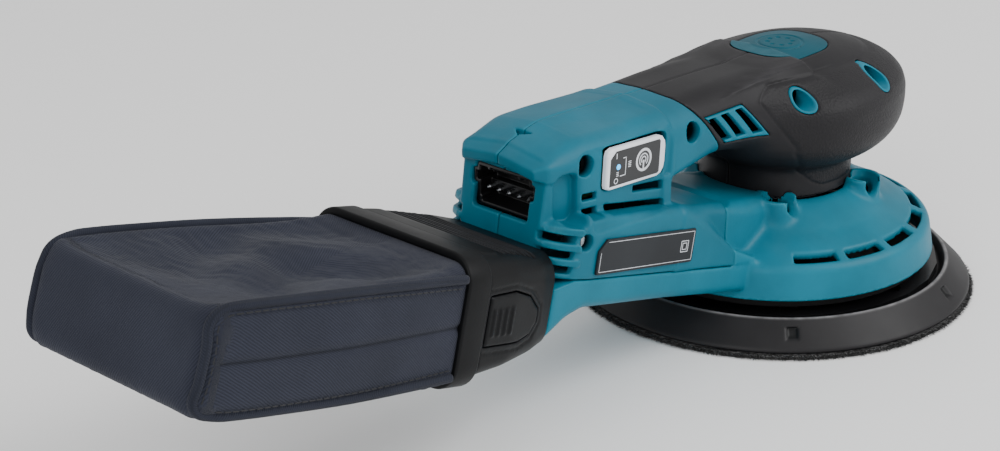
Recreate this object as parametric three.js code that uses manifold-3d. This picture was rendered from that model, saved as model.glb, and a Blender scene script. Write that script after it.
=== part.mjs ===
// Random orbital sander: palm grip on an upright motor, tail with a five-pin power inlet, and a dust bag.
// Millimetres, +Z up, +X forward. The origin is on the motor axis, in the plane of the sanding face.

import * as THREE from "three";
import { mergeVertices } from "three/addons/utils/BufferGeometryUtils.js";
import Module from "manifold-3d";

const wasm = await Module();
wasm.setup();

// ---------- driving dimensions ----------

const GAP = 0.3; // clearance between neighbouring pieces
const WALL = 2.4; // moulded wall
const CROWN_Z = 90; // above this the palm's skin is nearly level, and its inner face drops with it
const CROWN_SLOPE = 0.9;
const SHOULDER_Z = 80;
const SHOULDER_SLOPE = 0.5;
const ORBIT_OFFSET = 1.5; // eccentricity, half of a 3 mm orbit
const REST_ANGLE = (36 * Math.PI) / 180; // where the eccentric stands at rest
const DUCT_PITCH = (14 * Math.PI) / 180; // the duct and the bag rise towards the rear

const SHEET_RADIUS = 75.6;
const SHEET_TOP = 1.7;
const FOAM_TOP = 8.5;
const RIM_TOP = 12.1;
const RIM_TOP_RADIUS = 66.4;
const PLATE_RADIUS = 62.6;
const PLATE_TOP = 11.2;
const PAD_HUB_TOP = 17;
const DUST_HOLE_RADIUS = 4.5;
const DUST_HOLE_RINGS = [{ count: 8, radius: 32 }, { count: 8, radius: 54 }];

const SKIRT_BOTTOM = 16.4;
const SKIRT_RADIUS = 60.4;
const SKIRT_TOP = 28.8;
const NECK_BOTTOM = 43.2;
const NECK_RADIUS = 28.2;
const MOTOR_RADIUS = 25.2;
const SHROUD_FRONT = -59.9; // the tail shells end here and the shroud's body takes over

const EXHAUST = { first: -134.6, step: 21.03, arc: 17, count: 13, inner: 47.5, outer: 55.6 };
const DECK_SCREWS = [-141, -66, 66, 141]; // degrees round the neck
const DECK_SCREW_RADIUS = 34;

const COLLAR_U = 201.3; // places along the pitched axis
const BAG_U = 212;

const CORNER_STEPS = 3;
const PALM_POINTS = 24;
const POST_SIDES = 16;
const ROUND = 24; // sides of a turned piece
const WIDE_ROUND = 40; // sides of the pad and the skirt

// Palm grip, level by level: reach forward, backward and sideways, and squareness of the outline.
const PALM_LEVELS = [
  { z: NECK_BOTTOM, front: 28.4, back: 28.4, half: 28.4, power: 2 },
  { z: 51, front: 28.1, back: 28.1, half: 28.1, power: 2 },
  { z: 53.6, front: 30, back: 29, half: 29, power: 2 },
  { z: 57, front: 37, back: 32, half: 33.2, power: 2.05 },
  { z: 60, front: 43, back: 35, half: 36, power: 2.1 },
  { z: 63, front: 47, back: 38, half: 38.2, power: 2.15 },
  { z: 66.5, front: 49.8, back: 39.5, half: 39.7, power: 2.2 },
  { z: 71, front: 52, back: 40, half: 40.6, power: 2.2 },
  { z: 76, front: 53.3, back: 40, half: 40.8, power: 2.2 },
  { z: 80, front: 52, back: 39, half: 39.6, power: 2.2 },
  { z: 83.5, front: 49, back: 37, half: 36.4, power: 2.2 },
  { z: 86.5, front: 43.6, back: 34, half: 30, power: 2.2 },
  { z: 89.5, front: 34.5, back: 30, half: 23.6, power: 2.2 },
  { z: 92, front: 23, back: 24, half: 17, power: 2.2 },
  { z: 93.6, front: 10, back: 12, half: 8, power: 2.1 },
];

// Handle between the palm and the tail, then the tail itself: upright sections along X.
const HANDLE_SECTIONS = [
  { x: -92, half: 22.4, low: 72.3, high: 95.8, round: 10, lowRound: 3 },
  { x: -76, half: 22.3, low: 72.3, high: 95.1, round: 11, lowRound: 5 },
  { x: -62, half: 22.6, low: 72, high: 94.9, round: 12, lowRound: 8 },
  { x: -46, half: 23.4, low: 68, high: 94.5, round: 14, lowRound: 11 },
  { x: -30, half: 26.4, low: 63.5, high: 93.6, round: 17, lowRound: 13 },
  { x: -14, half: 29.6, low: 60.5, high: 92.6, round: 19, lowRound: 13 },
];
const TAIL_SECTIONS = [
  { x: -149, half: 15.6, low: 64.6, high: 91, round: 3.5, lowRound: 2 },
  { x: -146, half: 17.6, low: 63, high: 93.2, round: 4, lowRound: 2 },
  { x: -140.5, half: 20.4, low: 60, high: 95.3, round: 6, lowRound: 2 },
  { x: -132, half: 22.2, low: 60, high: 97.6, round: 8, lowRound: 2 },
  { x: -118, half: 22.6, low: 59, high: 97.2, round: 9, lowRound: 2 },
  { x: -88, half: 22.4, low: 56, high: 95.7, round: 10, lowRound: 2 },
];
const REAR_LEAN = 0.17; // the rear face leans forward as it rises
const REAR_LEAN_Z = 76;
const JOINT_LINE = { x: -77.9, z: 95.1, lean: (38.7 * Math.PI) / 180 }; // grip meets tail

// Sections across the pitched axis: u runs rearward along it and v is square to it.
const LOWER_BODY_SECTIONS = [
  { u: 161, half: 22.4, low: 16.3, high: 31, round: 4, lowRound: 0.8 },
  { u: 157.6, half: 25.8, low: 16.3, high: 34.5, round: 5, lowRound: 0.8 },
  { u: 152, half: 27.6, low: 16.3, high: 38, round: 5, lowRound: 0.8 },
  { u: 140, half: 28, low: 16.3, high: 38, round: 5, lowRound: 0.8 },
  { u: 97, half: 28.3, low: 16.3, high: 38.4, round: 5, lowRound: 0.8 },
  { u: 84, half: 28.5, low: 16.3, high: 33.5, round: 5, lowRound: 0.8 },
  { u: 66, half: 28.7, low: 16.3, high: 22, round: 2, lowRound: 0.8 },
  { u: 54, half: 28.7, low: 16.3, high: 18.5, round: 0.8, lowRound: 0.8 },
];
const DUCT_SECTIONS = [
  { u: 36, half: 28.6, low: 5.6, high: 16, round: 0.8, lowRound: 2.5 },
  { u: 100, half: 28, low: 6, high: 16, round: 0.8, lowRound: 4 },
  { u: 144, half: 27.6, low: 5.6, high: 16, round: 0.8, lowRound: 4 },
  { u: 152, half: 27.3, low: 2, high: 16, round: 0.8, lowRound: 5 },
  { u: 161, half: 27, low: -5.5, high: 16, round: 0.8, lowRound: 6 },
];
const SADDLE_SECTIONS = [
  { u: 30, half: 20, low: 20, high: 38, round: 9, lowRound: 1 },
  { u: 58, half: 26, low: 17, high: 37.5, round: 12, lowRound: 1 },
  { u: 97, half: 28.2, low: 17, high: 38.3, round: 5, lowRound: 1 },
];
const SPIGOT = { start: 150, end: 176, half: 20, low: -2.6, high: 13.4, round: 7 };
const ADAPTER_SECTIONS = [
  { u: 161.4, half: 27, low: -6, high: 25, round: 9, lowRound: 6 },
  { u: 170, half: 30, low: -7.4, high: 26, round: 9, lowRound: 6 },
  { u: 186, half: 33, low: -9.2, high: 27.4, round: 9, lowRound: 5 },
  { u: 201, half: 34.2, low: -10.8, high: 28, round: 9, lowRound: 5 },
];
const COLLAR = { half: 35.2, low: -14.8, high: 29.2, round: 8, lowRound: 5, length: 10.2, wall: 3 };
const BAG_SECTIONS = [
  { u: BAG_U, half: 33, low: -13.6, high: 27, round: 7, lowRound: 5 },
  { u: 224, half: 34.6, low: -12.8, high: 26.4, round: 7, lowRound: 5 },
  { u: 262, half: 38.2, low: -11.8, high: 24.6, round: 7, lowRound: 5 },
  { u: 300, half: 39.6, low: -11, high: 23, round: 7, lowRound: 5 },
  { u: 314, half: 38, low: -10.2, high: 22, round: 6, lowRound: 5 },
  { u: 319, half: 35, low: -9, high: 20.6, round: 6, lowRound: 5 },
];
const BAG_CLOTH = 1.6;

// Screws driven from the right flank: place in the XZ plane, depth of the head below the middle plane.
const SIDE_SCREWS = [
  { name: "tail_screw_rear", x: -131.5, z: 87.2, head: -15.5, hole: 3.6 },
  { name: "tail_screw_front", x: -77.1, z: 84.4, head: -15.5, hole: 3.6 },
  { name: "tail_screw_lower", x: -138.9, z: 64.6, head: -22.5, hole: 2.6 },
  { name: "palm_screw_rear", x: -24.2, z: 84, head: -20, hole: 4.3 },
  { name: "palm_screw_front", x: 15, z: 83.8, head: -20, hole: 4.3 },
];
const SCREW_HEAD_RADIUS = 2.2;
const SCREW_SHANK_RADIUS = 1.3;

const INLET = { half: 12.3, low: 70.1, high: 85.2, bulge: 14, bulgeZ: 80.4, front: -131, face: -147.4,
  floor: -139.5, rim: 1.6 };
const PINS = [-2, -1, 0, 1, 2]; // places across the socket, in steps of the pitch
const PIN_PITCH = 4.45;
const PIN_Z = 76.2;
const SWITCH = { x: -108, z: 82.8, length: 31.5, height: 14.2, pitch: (4 * Math.PI) / 180, face: -23.6,
  back: -21.6 };
const LED = { x: SWITCH.x - 10.2, z: SWITCH.z + 0.9, radius: 1.2 };
const LABEL = { x: -108.6, z: 52.5, length: 51, height: 11.8, pitch: (12 * Math.PI) / 180 };
const LATCH = { u0: 173, u1: 198, v0: 0, v1: 15.2 };
const BOARD = { x: [-127.5, -92], y: [-4, -2.4], z: [66, 92] };

const MOTOR = { low: 54, high: 70, core: 22.5, bore: 13.6, rotor: 13, slot: 2.2, slotRadius: 15.4, slots: 6 };
const SHAFT = { radius: 4, low: 34.9, high: 80 };
const SHAFT_BORE = 4.3;
const BEARINGS = { outer: 11.1, low: 41.6, high: 48.2, topOuter: 9.4, topLow: 74, topHigh: 79.4 };
const FAN = { radius: 30, low: 33.2, disc: 34.4, high: 40.8, hub: 9, blades: 11, twist: 0.5 };
const WEIGHT = { hub: 16.5, low: 20, high: 32.6, lobe: 30, pocket: 13 };
const SPINDLE = { radius: 5.8, flange: 9.5, low: 17.3, high: 29.2, bore: 4.2 };
const STUD = { radius: 4, hexRadius: 9.2, hexTop: 11.3, top: 25.6 };

// ---------- finishes ----------

function finish(color, roughness, metalness = 0) {
  return () => new THREE.MeshStandardMaterial({ color, roughness, metalness });
}
const teal = finish(0x017185, 0.5);
const tealDeck = finish(0x0b859c, 0.45);
const blackGrip = finish(0x222023, 0.7);
const blackPlastic = finish(0x292a30, 0.5);
const padRubber = finish(0x393739, 0.45);
const hookLoop = finish(0x1b1b1c, 0.95);
const bagCloth = finish(0x3b3e4a, 0.9);
const steel = finish(0xb9bcc0, 0.3, 1);
const darkSteel = finish(0x55585c, 0.4, 0.9);
const copper = finish(0xa4572d, 0.4, 0.9);
const aluminium = finish(0xa9abb0, 0.45, 0.9);
const boardGreen = finish(0x14532d, 0.6);
const white = finish(0xe4e6ea, 0.4);
const labelGrey = finish(0x3f4247, 0.5);
const ledBlue = finish(0x2fb4ff, 0.2);

// ---------- geometry helpers ----------

const sander = new THREE.Group();

function volumeOf(geometry) {
  const p = geometry.attributes.position;
  const [a, b, c] = [new THREE.Vector3(), new THREE.Vector3(), new THREE.Vector3()];
  let sum = 0;
  for (let i = 0; i < geometry.index.count; i += 3) {
    a.fromBufferAttribute(p, geometry.index.getX(i));
    b.fromBufferAttribute(p, geometry.index.getX(i + 1));
    c.fromBufferAttribute(p, geometry.index.getX(i + 2));
    sum += a.dot(b.cross(c));
  }
  return sum;
}

// Closed skin over a row of rings with equal numbers of points, capped by fans at both ends.
function loft(rings) {
  const count = rings[0].length;
  const points = rings.flat();
  const index = [];
  for (let ring = 0; ring + 1 < rings.length; ring += 1) {
    for (let k = 0; k < count; k += 1) {
      const next = (k + 1) % count;
      const [a, b] = [ring * count + k, ring * count + next];
      index.push(a, b, b + count, a, b + count, a + count);
    }
  }
  for (const [ring, start, flip] of [[rings[0], 0, true], [rings.at(-1), points.length - count, false]]) {
    const middle = ring.reduce((sum, p) => sum.add(p), new THREE.Vector3()).divideScalar(count);
    points.push(middle);
    for (let k = 0; k < count; k += 1) {
      const [a, b] = [start + k, start + ((k + 1) % count)];
      index.push(...(flip ? [b, a, points.length - 1] : [a, b, points.length - 1]));
    }
  }
  const geometry = new THREE.BufferGeometry().setFromPoints(points);
  geometry.setIndex(index);
  if (volumeOf(geometry) < 0) geometry.setIndex(index.reverse());
  return geometry;
}

function solid(geometry) {
  const bare = geometry.clone();
  bare.deleteAttribute("normal");
  bare.deleteAttribute("uv");
  const welded = mergeVertices(bare, 1e-4);
  const vertProperties = new Float32Array(welded.attributes.position.array);
  const triVerts = new Uint32Array(welded.index.array);
  return new wasm.Manifold(new wasm.Mesh({ numProp: 3, vertProperties, triVerts }));
}

function join(first, ...others) {
  return others.reduce((sum, other) => sum.add(other), first);
}

function cut(first, ...others) {
  return others.reduce((rest, other) => rest.subtract(other), first);
}

function addNode(name, shape, material) {
  const { vertProperties, triVerts } = shape.getMesh();
  const geometry = new THREE.BufferGeometry();
  geometry.setAttribute("position", new THREE.BufferAttribute(new Float32Array(vertProperties), 3));
  geometry.setIndex(new THREE.BufferAttribute(new Uint32Array(triVerts), 1));
  geometry.computeVertexNormals();
  const mesh = new THREE.Mesh(geometry, material());
  mesh.name = name;
  sander.add(mesh);
}

function block([x0, x1], [y0, y1], [z0, z1]) {
  const box = new THREE.BoxGeometry(x1 - x0, y1 - y0, z1 - z0);
  return solid(box.translate((x0 + x1) / 2, (y0 + y1) / 2, (z0 + z1) / 2));
}

// Round bar standing on z = low.
function post(radius, low, high, x = 0, y = 0, sides = POST_SIDES) {
  const bar = new THREE.CylinderGeometry(radius, radius, high - low, sides).rotateX(Math.PI / 2);
  return solid(bar.translate(x, y, (low + high) / 2));
}

// Round bar along Y.
function crossBar(radius, y0, y1, x, z, sides = 20) {
  const bar = new THREE.CylinderGeometry(radius, radius, y1 - y0, sides);
  return solid(bar.translate(x, (y0 + y1) / 2, z));
}

// Turned piece from [radius, z] points that start and end on the axis or close on themselves.
function turned(profile, sides = ROUND) {
  const points = profile.map(([radius, z]) => new THREE.Vector2(radius, z));
  const bare = new THREE.LatheGeometry(points, sides).rotateX(Math.PI / 2);
  bare.deleteAttribute("normal");
  bare.deleteAttribute("uv");
  const welded = mergeVertices(bare, 1e-4);
  if (volumeOf(welded) < 0) welded.setIndex([...welded.index.array].reverse());
  return solid(welded);
}

function ringOf(inner, outer, low, high, sides = ROUND) {
  return turned([[inner, low], [outer, low], [outer, high], [inner, high], [inner, low]], sides);
}

// Outline in the XZ plane carried from y0 to y1.
function prismAlongY(shape, y0, y1) {
  const prism = new THREE.ExtrudeGeometry(shape, { depth: y1 - y0, bevelEnabled: false, curveSegments: 6 });
  return solid(prism.rotateX(Math.PI / 2).translate(0, y1, 0));
}

function polygon(points) {
  return new THREE.Shape(points.map(([x, y]) => new THREE.Vector2(x, y)));
}

// Rounded rectangle of half width half between low and high, as a closed ring of [across, up] pairs.
function roundedRing({ half, low, high, round, lowRound }, inset = 0) {
  const [w, bottom, top] = [half - inset, low + inset, high - inset];
  const [upper, lower] = [Math.max(round - inset, 0.4), Math.max(lowRound - inset, 0.4)];
  const corners = [
    [w - upper, top - upper, upper, 0],
    [upper - w, top - upper, upper, 90],
    [lower - w, bottom + lower, lower, 180],
    [w - lower, bottom + lower, lower, 270],
  ];
  return corners.flatMap(([across, up, radius, start]) =>
    Array.from({ length: CORNER_STEPS + 1 }, (_, k) => {
      const angle = ((start + (90 * k) / CORNER_STEPS) * Math.PI) / 180;
      return [across + radius * Math.cos(angle), up + radius * Math.sin(angle)];
    }),
  );
}

// A place on the pitched axis: u rearward, v square to it, both from the origin.
function fromDuct(u, across, v) {
  const [c, s] = [Math.cos(DUCT_PITCH), Math.sin(DUCT_PITCH)];
  return new THREE.Vector3(-u * c + v * s, across, u * s + v * c);
}

function ductLoft(sections, inset = 0) {
  return solid(loft(sections.map((s) => roundedRing(s, inset).map(([y, v]) => fromDuct(s.u, y, v)))));
}

function ductBlock([u0, u1], [y0, y1], [v0, v1]) {
  const box = new THREE.BoxGeometry(u1 - u0, y1 - y0, v1 - v0);
  box.translate(-(u0 + u1) / 2, (y0 + y1) / 2, (v0 + v1) / 2);
  return solid(box.rotateY(DUCT_PITCH));
}

// ---------- housing forms, at any inset from the outer skin ----------

function palmForm(inset) {
  const rings = PALM_LEVELS.map(({ z, front, back, half, power }) =>
    Array.from({ length: PALM_POINTS }, (_, k) => {
      const angle = (2 * Math.PI * k) / PALM_POINTS;
      const [c, s] = [Math.cos(angle), Math.sin(angle)];
      const reach = Math.max((c > 0 ? front : back) - inset, 1);
      const x = Math.sign(c) * Math.abs(c) ** (2 / power) * reach;
      const y = Math.sign(s) * Math.abs(s) ** (2 / power) * Math.max(half - inset, 1);
      const slope = z > CROWN_Z ? CROWN_SLOPE : z > SHOULDER_Z ? SHOULDER_SLOPE : 0;
      return new THREE.Vector3(x, y, z - inset * slope);
    }),
  );
  return solid(loft(rings));
}

function handleForm(inset) {
  const ring = (s) => roundedRing(s, inset).map(([y, z]) => new THREE.Vector3(s.x, y, z));
  return solid(loft(HANDLE_SECTIONS.map(ring)));
}

function tailForm(inset) {
  const last = TAIL_SECTIONS.length - 1;
  const rings = TAIL_SECTIONS.map((s, i) =>
    roundedRing(s, inset).map(([y, z]) => {
      const lean = i < 2 ? REAR_LEAN * (z - REAR_LEAN_Z) * (1 - i / 2) : 0;
      const end = i === 0 ? inset : i === last ? -inset : 0;
      return new THREE.Vector3(s.x + lean + end, y, z);
    }),
  );
  return solid(loft(rings));
}

// Overhanging brow above the power inlet.
function browForm() {
  const sections = [
    { x: -151.2, half: 14.6, low: 88, high: 90.6, round: 1.2, lowRound: 1 },
    { x: -147.4, half: 18.8, low: 86.6, high: 92.6, round: 2.4, lowRound: 1 },
    { x: -139.5, half: 20.6, low: 84, high: 95.5, round: 6, lowRound: 1 },
    { x: -132, half: 22, low: 84, high: 97.4, round: 8, lowRound: 1 },
  ];
  return solid(loft(sections.map((s) => roundedRing(s).map(([y, z]) => new THREE.Vector3(s.x, y, z)))));
}

function lowerBodyForm(inset) {
  const last = LOWER_BODY_SECTIONS.length - 1;
  const sections = LOWER_BODY_SECTIONS.map((s, i) => {
    if (i === 0) return { ...s, u: s.u - inset };
    return i === last ? { ...s, u: s.u + inset } : s;
  });
  return ductLoft(sections, inset);
}

// Half space in front of the grip's joint line, or behind it, with half the gap taken off.
function jointCutter(forward) {
  const reach = 300;
  const side = forward ? 1 : -1;
  const box = new THREE.BoxGeometry(reach, reach, reach).translate((side * (reach + GAP)) / 2, 0, 0);
  return solid(box.rotateY(-JOINT_LINE.lean).translate(JOINT_LINE.x, 0, JOINT_LINE.z));
}

function middleCutter(side) {
  const y = side < 0 ? [-100, -GAP / 2] : [GAP / 2, 100];
  return block([-400, 200], y, [-50, 200]);
}

// ---------- outlines cut through the flanks ----------

const ventOutline = (shrink) =>
  polygon([
    [-70 + shrink * 1.6, 87.8 - shrink],
    [-49.2 - shrink * 0.4, 87.6 - shrink],
    [-34.6 - shrink * 1.6, 73.4 + shrink],
    [-58.5 + shrink * 0.4, 75.8 + shrink],
  ]);

function switchOutline(grow) {
  const [l, h] = [SWITCH.length / 2 + grow, SWITCH.height / 2 + grow];
  return polygon([[-l + 2, -h], [l - 4.6, -h], [l, -h + 3.4], [l, h - 3.6], [l - 3.6, h], [-l + 2.6, h],
    [-l, h - 2.4], [-l, -h + 2]]);
}

function switchPrism(grow, y0, y1) {
  const prism = new THREE.ExtrudeGeometry(switchOutline(grow), { depth: y1 - y0, bevelEnabled: false });
  prism.rotateX(Math.PI / 2).translate(0, y1, 0).rotateY(SWITCH.pitch);
  return solid(prism.translate(SWITCH.x, 0, SWITCH.z));
}

function inletOutline(grow) {
  const [w, wide, z] = [INLET.half + grow, INLET.bulge + grow, INLET.bulgeZ];
  const [bottom, top] = [INLET.low - grow, INLET.high + grow];
  const side = [[w - 1.6, bottom], [w, bottom + 1.6], [w, z - 4.4], [wide, z - 2.6], [wide, z + 1.8],
    [w, z + 3.2 + grow / 2], [w, top]];
  return polygon([...side, ...side.map(([y, up]) => [-y, up]).reverse()]);
}

function inletPrism(grow, x0, x1) {
  const prism = new THREE.ExtrudeGeometry(inletOutline(grow), { depth: x1 - x0, bevelEnabled: false });
  // The outline's first axis becomes Y and its second Z.
  prism.applyMatrix4(new THREE.Matrix4().set(0, 0, 1, x0, 1, 0, 0, 0, 0, 1, 0, 0, 0, 0, 0, 1));
  return solid(prism);
}

// ---------- housing ----------

function flankSlots(side) {
  const y = side < 0 ? [-30, -18] : [18, 30];
  const corner = side < 0 ? [-32, -23.8] : [23.8, 32];
  const louvres = [29, 23.6, 18.9].map((v) => ductBlock([148, 164], corner, [v, v + 2.3]));
  const small = [[-134.6, -128.6, 76.2, 78.4], [-135, -129, 71.6, 73.8]];
  const cells = small.map(([x0, x1, z0, z1]) => block([x0, x1], y, [z0, z1]));
  const long = prismAlongY(polygon([[-124.2, 70.6], [-94, 64], [-94, 66.8], [-124.2, 73.4]]), ...y);
  const wedge = prismAlongY(polygon([[-109, 72.4], [-94, 70.4], [-94, 73.6], [-103, 75.4], [-109, 74.8]]), ...y);
  return [...louvres, ...cells, long, wedge];
}

// Scooped finger recess on each flank, beside the inlet.
function fingerScoop(side, grow = 0) {
  const scoop = new THREE.SphereGeometry(1, 14, 8).scale(7.2 + grow, 7 + grow, 12 + grow);
  return solid(scoop.translate(-139.5, side * 24.6, 76));
}

function outerForm() {
  return join(palmForm(0), handleForm(0), tailForm(0), browForm(), lowerBodyForm(0));
}

function innerForm() {
  const palm = palmForm(WALL).intersect(block([-100, 100], [-60, 60], [58, 91]));
  return join(
    palm,
    handleForm(WALL),
    tailForm(WALL),
    lowerBodyForm(WALL),
    post(MOTOR_RADIUS, 30, 76, 0, 0, ROUND),
    post(MOTOR_RADIUS - 4, 70, 80.4, 0, 0, ROUND),
    block([-112, -80], [-19, 19], [75, 92]),
  );
}

function addHousing() {
  const outer = outerForm();
  const posts = SIDE_SCREWS.map(({ x, z, head, hole }) =>
    join(crossBar(hole + 1.6, -45, head + 2, x, z, 14), crossBar(3, head, 20, x, z, 10)).intersect(outer),
  );
  const scoopBacks = [-1, 1].map((side) => fingerScoop(side, WALL).intersect(outer));
  const shell = join(cut(outer, innerForm()), ...posts, ...scoopBacks);
  const holes = SIDE_SCREWS.flatMap(({ x, z, head, hole }) => [
    crossBar(hole, -60, head, x, z, 14),
    crossBar(SCREW_SHANK_RADIUS + GAP, head - 1, 14, x, z, 8),
  ]);
  const skirtRoom = block([SHROUD_FRONT - GAP, 70], [-70, 70], [0, 61]);
  const inlet = inletPrism(GAP, -160, -120);
  const motorRoom = post(MOTOR_RADIUS, 30, 76, 0, 0, ROUND);
  const switchWindow = switchPrism(0.35, -40, -16);
  const ends = { right: -1, left: 1 };
  for (const [name, side] of Object.entries(ends)) {
    const half = middleCutter(side);
    const vent = prismAlongY(ventOutline(0), ...(side < 0 ? [-40, -12] : [12, 40]));
    const tail = cut(shell.intersect(half).intersect(jointCutter(false)), inlet, skirtRoom, fingerScoop(side),
      ...flankSlots(side), ...holes, ...(side < 0 ? [switchWindow] : []));
    const grip = cut(shell.intersect(half).intersect(jointCutter(true)), vent, badgePocket(), motorRoom, ...holes);
    addNode(`tail_shell_${name}`, largest(tail), teal);
    addNode(`grip_shell_${name}`, largest(grip), blackGrip);
    addNode(`vent_insert_${name}`, ventInsert(side), tealDeck);
  }
}

function largest(shape) {
  return shape.decompose().sort((a, b) => b.volume() - a.volume())[0];
}

function ventInsert(side) {
  const y = side < 0 ? [-40, -12] : [12, 40];
  const band = cut(join(handleForm(0.25), palmForm(0.25)), join(handleForm(WALL), palmForm(WALL)));
  const frame = band.intersect(prismAlongY(ventOutline(GAP), ...y)).intersect(jointCutter(true));
  const slots = [0, 1, 2].map((k) => {
    const x = -62.6 + 6.6 * k;
    return prismAlongY(polygon([[x, 85.6], [x + 3.4, 85.6], [x + 11.4, 77.4], [x + 8, 77.4]]), ...y);
  });
  return largest(cut(frame, ...slots));
}

// ---------- badge let into the crown of the palm ----------

const BADGE = { x: 1, length: 36, width: 22 };

function badgeOutline(grow) {
  const shape = new THREE.Shape();
  shape.absellipse(BADGE.x, 0, BADGE.length / 2 + grow, BADGE.width / 2 + grow, 0, 2 * Math.PI);
  return new THREE.ExtrudeGeometry(shape, { depth: 20, bevelEnabled: false, curveSegments: 6 }).translate(0, 0, 84);
}

function badgePocket() {
  const under = join(palmForm(1.3), handleForm(1.3));
  return cut(solid(badgeOutline(0)), under);
}

function addBadge() {
  const plate = cut(join(palmForm(0.1), handleForm(0.1)), join(palmForm(1), handleForm(1)));
  addNode("crown_badge", largest(plate.intersect(solid(badgeOutline(-GAP)))), tealDeck);
}

// ---------- screws and their teal sleeves ----------

function addSideScrews() {
  for (const { name, x, z, head } of SIDE_SCREWS) {
    const body = join(
      crossBar(SCREW_HEAD_RADIUS, head - 3, head - GAP, x, z, 12),
      crossBar(SCREW_SHANK_RADIUS, head - 0.5, 13, x, z, 8),
    );
    addNode(name, cut(body, block([x - 0.5, x + 0.5], [head - 4, head - 2], [z - 1.6, z + 1.6])), steel);
  }
  for (const { name, x, z, head, hole } of SIDE_SCREWS.filter((s) => s.name.startsWith("palm"))) {
    const tube = cut(crossBar(hole - GAP, -50, head - GAP - 3, x, z, 14), crossBar(hole - 1.1, -51, 0, x, z, 14));
    const skin = palmForm(0.4);
    addNode(name.replace("screw", "sleeve"), largest(tube.intersect(skin)), tealDeck);
  }
}

// ---------- dust shroud: skirt, deck, lower duct and outlet ----------

function exhaustSlot(index) {
  const start = ((EXHAUST.first + EXHAUST.step * index) * Math.PI) / 180;
  const end = start + (EXHAUST.arc * Math.PI) / 180;
  const shape = new THREE.Shape();
  shape.absarc(0, 0, EXHAUST.outer, start, end, false);
  shape.absarc(0, 0, EXHAUST.inner, end, start, true);
  const prism = new THREE.ExtrudeGeometry(shape, { depth: 20, bevelEnabled: false, curveSegments: 2 });
  return solid(prism.translate(0, 0, 22));
}

function addShroud() {
  const deck = turned([[0, SKIRT_BOTTOM], [SKIRT_RADIUS, SKIRT_BOTTOM], [58.6, 27.2], [57, SKIRT_TOP], [43, 35.4],
    [31, 42.6], [0, NECK_BOTTOM]], WIDE_ROUND);
  const cavity = turned([[0, 10], [58, 10], [56.2, 25.4], [53.6, 27], [41.6, 32.6], [29.6, 39.6], [0, 39.6]], WIDE_ROUND);
  const nearSkirt = block([SHROUD_FRONT, 70], [-70, 70], [10, 60]);
  const body = join(lowerBodyForm(0), ductLoft(SADDLE_SECTIONS)).intersect(nearSkirt);
  const neckRoom = post(NECK_RADIUS + 0.7, 30, 70, 0, 0, ROUND);
  const spigot = ductLoft([SPIGOT.start, SPIGOT.end].map((u) => ({ ...SPIGOT, u, lowRound: SPIGOT.round })));
  const bore = ductLoft([SPIGOT.start - 14, SPIGOT.end + 1].map((u) => ({ ...SPIGOT, u, lowRound: SPIGOT.round })), 2);
  const channel = ductLoft(DUCT_SECTIONS.slice(0, 4).map((s, i) => (i === 0 ? { ...s, u: 45 } : s)), WALL);
  const floorTrim = block([-80, 80], [-80, 80], [-10, SKIRT_BOTTOM]);
  const screwRoom = DECK_SCREWS.flatMap((degrees) => {
    const [x, y] = polar(DECK_SCREW_RADIUS, degrees);
    return [post(3.5, 43.4, 60, x, y, 12), post(SCREW_SHANK_RADIUS + GAP, 30, 44, x, y, 8)];
  });
  const bosses = DECK_SCREWS.map((degrees) => post(5.2, 34, 45.4, ...polar(DECK_SCREW_RADIUS, degrees), 12));
  const slots = Array.from({ length: EXHAUST.count }, (_, index) => exhaustSlot(index));
  const outside = join(deck, ductLoft(DUCT_SECTIONS), body, spigot, ...bosses);
  const shroud = cut(outside, cavity, channel, bore, neckRoom, floorTrim, ...screwRoom, ...slots);
  addNode("dust_shroud", largest(shroud), tealDeck);
  DECK_SCREWS.forEach((degrees, index) => {
    const [x, y] = polar(DECK_SCREW_RADIUS, degrees);
    const screw = join(post(SCREW_HEAD_RADIUS + 0.6, 43.7, 46, x, y, 12), post(SCREW_SHANK_RADIUS, 33, 44, x, y, 8));
    addNode(`deck_screw_${index + 1}`, screw, steel);
  });
}

function polar(radius, degrees) {
  const angle = (degrees * Math.PI) / 180;
  return [radius * Math.cos(angle), radius * Math.sin(angle)];
}

// ---------- power inlet ----------

function addInlet() {
  const socket = inletPrism(-INLET.rim, -160, INLET.floor);
  const pinHoles = PINS.map((k) => {
    const hole = new THREE.CylinderGeometry(1.15, 1.15, 20, 12).rotateZ(Math.PI / 2);
    return solid(hole.translate(-134, k * PIN_PITCH, PIN_Z));
  });
  addNode("inlet_body", cut(inletPrism(0, INLET.face, INLET.front), socket, ...pinHoles), blackPlastic);
  const tip = INLET.face + 1.2;
  PINS.forEach((k, index) => {
    const shaft = new THREE.CylinderGeometry(0.8, 0.8, 17, 8).rotateZ(Math.PI / 2);
    const point = new THREE.CylinderGeometry(0.8, 0.3, 0.8, 8).rotateZ(-Math.PI / 2);
    const pin = join(
      solid(shaft.translate(tip + 9.3, k * PIN_PITCH, PIN_Z)),
      solid(point.translate(tip + 0.4, k * PIN_PITCH, PIN_Z)),
    );
    addNode(`contact_pin_${index + 1}`, pin, steel);
  });
}

// ---------- switch plate, control board and label on the right flank ----------

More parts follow.
